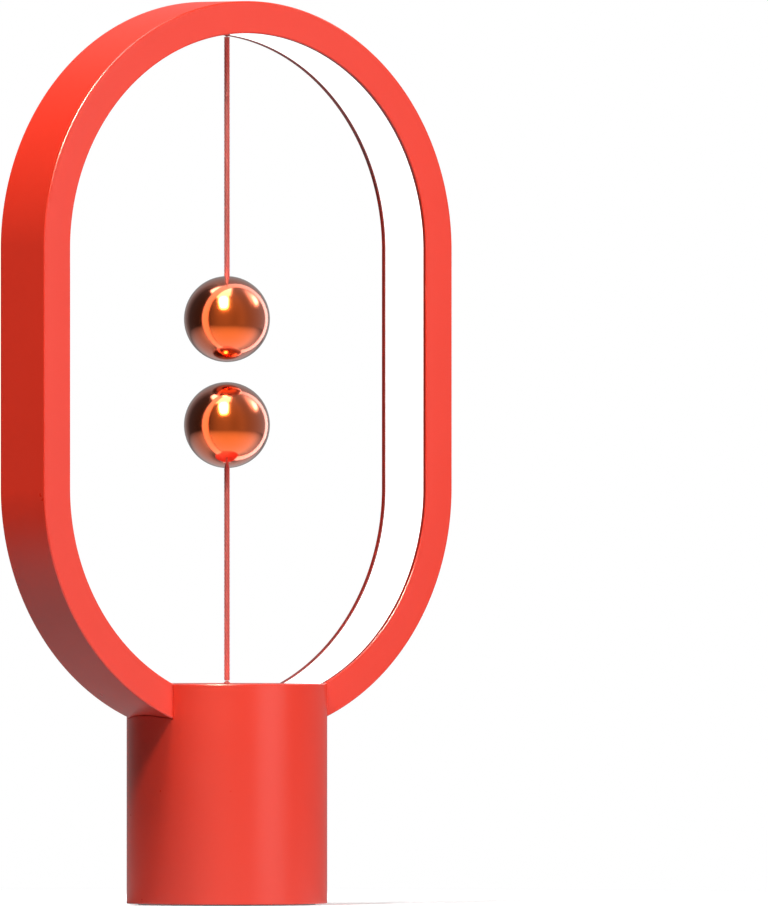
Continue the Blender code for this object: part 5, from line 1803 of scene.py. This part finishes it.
    def strap(self) -> bpy.types.Object:
        """The strap round the bundle of turns, a loop with rounded corners."""
        width = self.pitch * self.coil_turns_per_layer
        clear = self.diameter / 2 + self.gap
        low = self.coil_mean_radius - width / 2 - clear
        high = self.coil_mean_radius + width / 2 + clear
        top = self.coil_floor + self.pitch * (self.coil_layers - 1) + clear
        thick = self.strap_thickness
        half = self.strap_width / 2
        obj = Bench.block("coil_strap", (low - thick, -half, 0.0), (high + thick, half, top + thick))
        hole = Bench.block("strap_hole", (low, -2 * half, thick), (high, 2 * half, top))
        Bench.bevel_where(
            obj, lambda a, b: abs(a.y - b.y) > half, self.strap_round + thick, segments=6
        )
        Bench.bevel_where(hole, lambda a, b: abs(a.y - b.y) > half, self.strap_round, segments=6)
        Bench.cut(obj, hole)
        Bench.apply(obj, "BEVEL", width=0.15 * MM, segments=2, limit_method="ANGLE")
        Bench.place(
            obj,
            Matrix.Translation((*self.coil_centre, 0.0)) @ Matrix.Rotation(self.strap_angle, 4, "Z"),
        )
        return obj

    def line(self, points: Sequence[Vector]) -> bpy.types.Object:
        """The lead itself: one open curve with a round section."""
        curve = bpy.data.curves.new("lead", "CURVE")
        curve.dimensions = "3D"
        curve.bevel_depth = self.diameter / 2
        curve.bevel_resolution = 5
        curve.use_fill_caps = True
        spline = curve.splines.new("POLY")
        spline.points.add(len(points) - 1)
        for point, place in zip(spline.points, points):
            point.co = (*place, 1.0)
        spline.use_smooth = True
        obj = bpy.data.objects.new("usb_lead", curve)
        bpy.context.scene.collection.objects.link(obj)
        self.length = sum((b - a).length for a, b in zip(points, points[1:]))
        return obj

    def build(self) -> None:
        turned = Matrix.Rotation(-self.socket_angle, 4, "Z")
        socket = turned @ Matrix.Translation((0.0, 0.0, self.socket_z))
        start = self.base_radius + 2 * self.gap
        plug_c = self.overmould("usb_c_overmould_body", self.overmould_c, start)
        Bench.place(plug_c, socket)
        seat(plug_c, WHITE, ["usb_c_overmould"])
        collar_start = start + self.overmould_c[1] + self.gap
        collar_c = self.collar("usb_c_strain_collar", collar_start, flipped=False)
        Bench.place(collar_c, socket)
        seat(collar_c, WHITE, ["usb_c_collar"])

        first = socket @ Vector((0.0, collar_start + self.collar_length + self.gap, 0.0))
        heading = (turned @ Vector((0.0, 1.0, 0.0))).normalized()
        coil = self.coil_points()
        coil_way = (coil[1] - coil[0]).normalized()
        last = coil[0] - coil_way * self.gap
        route = [
            first + heading * self.diameter,
            *[Vector(place) for place in self.route],
            last - coil_way * self.diameter,
        ]
        run = [first, *self.smooth(route, self.diameter), last]
        tail_way = (coil[-1] - coil[-2]).normalized()
        tail, ahead = self.tail_points(coil[-1] + tail_way * self.gap, tail_way)
        points = [first - heading * self.gap, *run, *coil, *tail, tail[-1] + ahead * self.gap]
        lead = self.line(points)
        seat(lead, WHITE, ["charging_lead", "lead_coil", "lead_tail"])

        turn = Vector((0.0, 1.0, 0.0)).rotation_difference(ahead).to_matrix().to_4x4()
        plug = Matrix.Translation(tail[-1]) @ turn
        collar_a = self.collar("usb_a_strain_collar", self.gap, flipped=True)
        Bench.place(collar_a, plug)
        seat(collar_a, WHITE, ["usb_a_collar"])
        body_start = 2 * self.gap + self.collar_length
        body = self.overmould("usb_a_overmould_body", self.overmould_a, body_start)
        Bench.place(body, plug)
        seat(body, WHITE, ["usb_a_overmould"])
        shell_start = body_start + self.overmould_a[1] + self.gap
        shell = self.long_shell(shell_start)
        Bench.place(shell, plug)
        seat(shell, BRIGHT, ["usb_a_shell"])
        tongue = self.long_tongue(shell_start)
        Bench.place(tongue, plug)
        seat(tongue, WHITE, ["usb_a_tongue"])
        strap = self.strap()
        seat(strap, STRAP, ["coil_tie"])


# ---------------------------------------------------------------- what stays as CAD made it


@dataclass
class Innards:
    """The CAD nodes inside the lamp, which keep their shapes and get their finishes here."""

    finishes: tuple[tuple[Finish, tuple[str, ...]], ...] = (
        (
            DULL,
            (
                "ballast",
                "frame_bracket",
                "frame_screw_left",
                "frame_screw_right",
                "bracket_screw_left",
                "bracket_screw_right",
                "bottom_screw_1",
                "bottom_screw_2",
                "bottom_screw_3",
                "bottom_screw_4",
            ),
        ),
        (
            BRIGHT,
            (
                "frame_nut_plate",
                "switch_spring",
                "usb_socket",
                "usb_c_shell",
                "upper_magnet",
                "lower_magnet",
            ),
        ),
        (
            BRASS,
            (
                "board_standoff_back_left",
                "board_standoff_back_right",
                "board_standoff_front_left",
                "board_standoff_front_right",
                "switch_contact_left",
                "switch_contact_right",
                "upper_cord_stop",
                "lower_cord_stop",
            ),
        ),
        (BLACK, ("switch_housing", "usb_socket_tongue", "led_wire_back")),
        (RED, ("led_wire_front",)),
        (BOARD, ("driver_board",)),
        (STRIP, ("led_strip",)),
    )

    def build(self) -> None:
        """Gives each inner node its finish."""
        for finish, names in self.finishes:
            for name in names:
                mesh = frame["nodes"][name].data
                mesh.materials.clear()
                mesh.materials.append(finish.material())
                log.info("%s keeps its CAD shape in %s", name, finish.slot.value)


# ---------------------------------------------------------------- the studio


@dataclass(frozen=True)
class Softbox:
    """One area light of the studio, which reflections don't show: they show the cards instead.

    Attributes:
        name: The light's name.
        place: Where it stands, in metres.
        size: Its width and height.
        power: Its power in watts.
    """

    name: str
    place: tuple[float, float, float]
    size: tuple[float, float]
    power: float

    def light(self, aim: Vector) -> None:
        """Puts the light up, turned to a point."""
        lamp = bpy.data.lights.new(self.name, "AREA")
        lamp.shape = "RECTANGLE"
        lamp.size, lamp.size_y = self.size
        lamp.energy = self.power
        obj = bpy.data.objects.new(self.name, lamp)
        bpy.context.scene.collection.objects.link(obj)
        obj.location = self.place
        way = aim - Vector(self.place)
        obj.rotation_euler = way.to_track_quat("-Z", "Y").to_euler()
        obj.visible_glossy = False


@dataclass(frozen=True)
class Card:
    """A bright card that only reflections show, with edges that fade.

    Attributes:
        name: The card's name.
        corners: Each as metres from the balls' middle to the camera's right, up and towards it.
        glow: How bright its middle is.
        soft: The share of its width over which each edge fades.
        tint: Its colour.
    """

    name: str
    corners: tuple[tuple[float, float, float], ...]
    glow: float
    soft: float = 0.15
    tint: tuple[float, float, float] = (1.0, 1.0, 1.0)


@dataclass
class Studio:
    """Floor, softboxes, cards, background and camera."""

    aim: tuple[float, float, float] = (53.5 * MM, -37.3 * MM, 186.65 * MM)
    azimuth: float = math.radians(-34.9)
    distance: float = 13.53
    lens: float = 1289.0
    sensor: float = 36.0
    floor_radius: float = 0.9
    floor_colour: float = 0.92
    floor_bounce: float = 0.26
    floor_lift: float = 0.4
    mirrored_floor: float = 1.05
    mirrored_far_floor: float = 0.2
    mirrored_start: float = 0.2
    mirrored_end: float = 1.0
    bright_side: tuple[float, float, float] = (-0.34, -0.94, 0.0)
    dim_share: float = 0.42
    dim_from: float = -0.3
    dim_to: float = 0.45
    contact_start: float = 0.05
    contact_end: float = 0.16
    contact_share: float = 0.06
    fade_start: float = 0.22
    fade_end: float = 0.5
    tent_radius: float = 2.4
    tent_height: float = 3.2
    tent_below: float = 0.05
    tent_levels: tuple[tuple[float, float], ...] = (
        (0.0, 0.2),
        (0.07, 0.045),
        (0.235, 0.03),
        (0.26, 0.08),
        (0.29, 0.22),
        (0.34, 0.34),
        (0.40, 0.38),
        (0.46, 0.31),
        (0.52, 0.38),
        (0.57, 0.3),
        (0.63, 0.3),
        (0.70, 0.31),
        (0.9, 0.28),
        (1.0, 0.25),
    )
    cards_middle: float = 0.22
    ambient: tuple[float, float, float] = (0.03, 0.03, 0.03)
    softboxes: tuple[Softbox, ...] = (
        Softbox("key_softbox", (-1.035, -0.673, 1.625), (0.2, 0.2), 16.0),
        Softbox("left_top_softbox", (-0.721, -0.08, 1.606), (0.4, 0.4), 13.9),
        Softbox("top_softbox", (-0.4, 0.0, 1.729), (0.5, 0.5), 8.4),
        Softbox("front_softbox", (0.6, -1.89, 0.48), (1.2, 1.2), 32.5),
        Softbox("right_softbox", (1.931, -0.193, 0.663), (1.0, 1.0), 6.0),
    )
    cards: tuple[Card, ...] = (
        Card(
            "top_card",
            ((-0.97, 1.5, -0.37), (0.36, 1.5, -0.37), (0.36, 1.5, 0.83), (-0.97, 1.5, 0.83)),
            5.5,
        ),
        Card(
            "key_card",
            ((-0.74, 1.72, 0.56), (0.25, 1.72, 0.56), (0.25, 0.74, 1.86), (-0.74, 0.74, 1.86)),
            105.0,
            soft=0.38,
            tint=(1.0, 0.95, 0.78),
        ),
        Card(
            "right_card",
            ((0.83, 0.98, -0.96), (0.89, 1.32, -0.19), (1.49, 0.5, 0.32), (1.36, 0.48, -0.7)),
            6.0,
            soft=0.5,
            tint=(1.0, 0.93, 0.82),
        ),
        Card(
            "right_haze_card",
            ((0.25, 1.15, -1.1), (0.5, 1.75, -0.1), (1.6, 0.6, 0.75), (1.5, 0.25, -0.7)),
            1.8,
            soft=0.5,
            tint=(1.0, 0.85, 0.8),
        ),
    )

    @staticmethod
    def shown(shader: ShaderTree) -> bpy.types.NodeSocket:
        """1 for the rays that show a thing, straight or mirrored or through glass, and else 0."""
        rays = shader.add("ShaderNodeLightPath").outputs
        mirrored = shader.math("MAXIMUM", rays["Is Glossy Ray"], rays["Is Transmission Ray"])
        return shader.math("MAXIMUM", rays["Is Camera Ray"], mirrored)

    @staticmethod
    def blank(obj: bpy.types.Object) -> tuple[ShaderTree, bpy.types.Node]:
        """Gives a stage piece a new material.

        Args:
            obj: The piece.

        Returns:
            The material's nodes and its Principled BSDF.
        """
        material = bpy.data.materials.new(obj.name)
        material.use_nodes = True
        surface = next(n for n in material.node_tree.nodes if n.type == "BSDF_PRINCIPLED")
        surface.inputs["Roughness"].default_value = 0.95
        surface.inputs["Specular IOR Level"].default_value = 0.0
        obj.data.materials.append(material)
        return ShaderTree(material.node_tree), surface

    @staticmethod
    def mirrored_only(obj: bpy.types.Object) -> None:
        """Lets a stage piece show in reflections alone."""
        obj.visible_camera = False
        obj.visible_diffuse = False
        obj.visible_shadow = False
        obj.visible_transmission = False

    def floor(self) -> None:
        """A round pale floor that fades to the background's white, and shows in reflections as a
        painted glow with painted shade by the base.
        """
        obj = Bench.swept(
            "studio_floor", [(self.floor_radius, -2.2 * MM), (self.floor_radius, -0.2 * MM)], sides=96
        )
        shader, surface = self.blank(obj)
        rays = shader.add("ShaderNodeLightPath").outputs
        seen = shader.math("MAXIMUM", rays["Is Camera Ray"], rays["Is Transmission Ray"])
        shader.join(
            shader.blend(seen, (self.floor_bounce,) * 3, (self.floor_colour,) * 3),
            surface.inputs["Base Color"],
        )
        surface.inputs["Emission Color"].default_value = (1.0, 1.0, 1.0, 1.0)
        lift = shader.math("MULTIPLY", seen, self.floor_lift)
        shader.join(lift, surface.inputs["Emission Strength"])
        place = shader.add("ShaderNodeTexCoord").outputs["Object"]
        length = shader.add("ShaderNodeVectorMath", operation="LENGTH")
        shader.join(place, length.inputs[0])
        away = length.outputs["Value"]
        white = shader.add("ShaderNodeEmission")
        far = shader.range(away, self.fade_start, self.fade_end, 0.0, 1.0)
        plain = shader.add("ShaderNodeMixShader")
        shader.join(shader.math("MULTIPLY", far, seen), plain.inputs[0])
        shader.join(surface.outputs[0], plain.inputs[1])
        shader.join(white.outputs[0], plain.inputs[2])
        # Painted light: in reflections the floor is an emission, brightest near the lamp and fading
        # with distance.
        level = shader.range(
            away,
            self.mirrored_start,
            self.mirrored_end,
            self.mirrored_floor,
            self.mirrored_far_floor,
        )
        # Painted light and shade: brighter towards the front, dimmer on the other side, and darker
        # close to the base there.
        side = shader.add("ShaderNodeVectorMath", operation="DOT_PRODUCT")
        shader.join(place, side.inputs[0])
        side.inputs[1].default_value = self.bright_side
        facing = shader.math("DIVIDE", side.outputs["Value"], away)
        bright = shader.range(facing, self.dim_from, self.dim_to, 0.0, 1.0)
        low = shader.range(
            away, self.contact_start, self.contact_end, self.contact_share, self.dim_share
        )
        share = shader.math("MULTIPLY_ADD", bright, shader.math("SUBTRACT", 1.0, low), low)
        mirrored = shader.add("ShaderNodeEmission")
        shader.join(shader.math("MULTIPLY", level, share), mirrored.inputs["Strength"])
        mix = shader.add("ShaderNodeMixShader")
        shader.join(rays["Is Glossy Ray"], mix.inputs[0])
        shader.join(plain.outputs[0], mix.inputs[1])
        shader.join(mirrored.outputs[0], mix.inputs[2])
        out = next(n for n in shader.tree.nodes if n.type == "OUTPUT_MATERIAL")
        shader.join(mix.outputs[0], out.inputs["Surface"])

    def tent(self) -> None:
        """The grey surround that the polished balls show, darkest behind them on the left."""
        obj = Bench.swept(
            "studio_tent",
            [(self.tent_radius, -self.tent_below), (self.tent_radius, self.tent_height)],
            sides=64,
        )
        shader, surface = self.blank(obj)
        surface.inputs["Base Color"].default_value = (0.0, 0.0, 0.0, 1.0)
        place = shader.add("ShaderNodeTexCoord").outputs["Object"]
        parts = shader.add("ShaderNodeSeparateXYZ")
        shader.join(place, parts.inputs["Vector"])
        front = shader.math("MULTIPLY", parts.outputs["Y"], -1.0)
        turn = shader.math("ARCTAN2", parts.outputs["X"], front)
        share = shader.math("MULTIPLY_ADD", turn, 0.5 / math.pi, 0.5)
        ramp = shader.add("ShaderNodeValToRGB")
        shader.join(share, ramp.inputs["Fac"])
        stops = ramp.color_ramp.elements
        for index, (position, level) in enumerate(self.tent_levels):
            stop = stops[index] if index < 2 else stops.new(position)
            stop.position = position
            stop.color = (level, level, level, 1.0)
        shader.join(ramp.outputs["Color"], surface.inputs["Emission Color"])
        surface.inputs["Emission Strength"].default_value = 1.0
        self.mirrored_only(obj)

    def card(self, card: Card) -> None:
        """Puts up one card."""
        right = Vector((math.cos(self.azimuth), math.sin(self.azimuth), 0.0))
        near = Vector((math.sin(self.azimuth), -math.cos(self.azimuth), 0.0))
        Bench.clear()
        bpy.ops.mesh.primitive_plane_add(size=1.0)
        obj = Bench.fresh(card.name)
        order = (0, 1, 3, 2)
        for vert, index in zip(obj.data.vertices, order):
            across, up, out = card.corners[index]
            vert.co = right * across + near * out + Vector((0.0, 0.0, up + self.cards_middle))
        shader = self.blank(obj)[0]
        parts = shader.add("ShaderNodeSeparateXYZ")
        shader.join(shader.add("ShaderNodeTexCoord").outputs["UV"], parts.inputs["Vector"])
        glow: bpy.types.NodeSocket | float = card.glow
        for name in ("X", "Y"):
            inward = shader.math("PINGPONG", parts.outputs[name], 0.5)
            fade = shader.range(inward, 0.0, card.soft, 0.0, 1.0)
            glow = shader.math("MULTIPLY", shader.math("POWER", fade, 2.0), glow)
        light = shader.add("ShaderNodeEmission")
        light.inputs["Color"].default_value = (*card.tint, 1.0)
        shader.join(glow, light.inputs["Strength"])
        total = shader.add("ShaderNodeAddShader")
        shader.join(light.outputs[0], total.inputs[0])
        shader.join(shader.add("ShaderNodeBsdfTransparent").outputs[0], total.inputs[1])
        out = next(n for n in shader.tree.nodes if n.type == "OUTPUT_MATERIAL")
        shader.join(total.outputs[0], out.inputs["Surface"])
        self.mirrored_only(obj)

    def background(self) -> None:
        """A plain white behind the lamp, and a low level light on it from all round."""
        world = bpy.data.worlds.new("studio_air")
        bpy.context.scene.world = world
        world.use_nodes = True
        shader = ShaderTree(world.node_tree)
        sky = next(n for n in world.node_tree.nodes if n.type == "BACKGROUND")
        shader.join(
            shader.blend(self.shown(shader), self.ambient, (1.0, 1.0, 1.0)), sky.inputs["Color"]
        )

    def camera(self) -> None:
        """The camera, level with the lamp's middle and far away behind a long lens."""
        data = bpy.data.cameras.new("product_camera")
        data.lens = self.lens
        data.sensor_width = self.sensor
        data.clip_end = 100.0
        obj = bpy.data.objects.new("product_camera", data)
        bpy.context.scene.collection.objects.link(obj)
        back = Vector((math.sin(self.azimuth), -math.cos(self.azimuth), 0.0))
        obj.location = Vector(self.aim) + back * self.distance
        obj.rotation_euler = (math.pi / 2, 0.0, self.azimuth)
        bpy.context.scene.camera = obj

    def build(self) -> None:
        """Sets the studio up."""
        self.floor()
        self.tent()
        for card in self.cards:
            self.card(card)
        self.background()
        aim = Vector((0.0, 0.0, 0.18))
        for softbox in self.softboxes:
            softbox.light(aim)
        self.camera()
        bpy.context.scene.view_settings.view_transform = "Standard"


def main() -> None:
    """Builds the lamp piece by piece, then the studio."""
    logging.basicConfig(level=logging.INFO, format="%(name)s: %(message)s")
    ring = LightRing()
    ring.build()
    RoundBase(ring).build()
    BallOnCord("upper", 243.09 * MM, 361.6 * MM, 1.0).build()
    lower_pivot = 91.7 * MM
    lower = BallOnCord("lower", 199.09 * MM, lower_pivot, -1.0)
    lower_cord = lower.build()
    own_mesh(lower_cord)
    PullRod().build()
    lead = ChargingLead()
    lead.build()
    log.info("the lead is %.3f m long", lead.length)
    Innards().build()
    Studio().build()


if __name__ == "__main__":
    main()
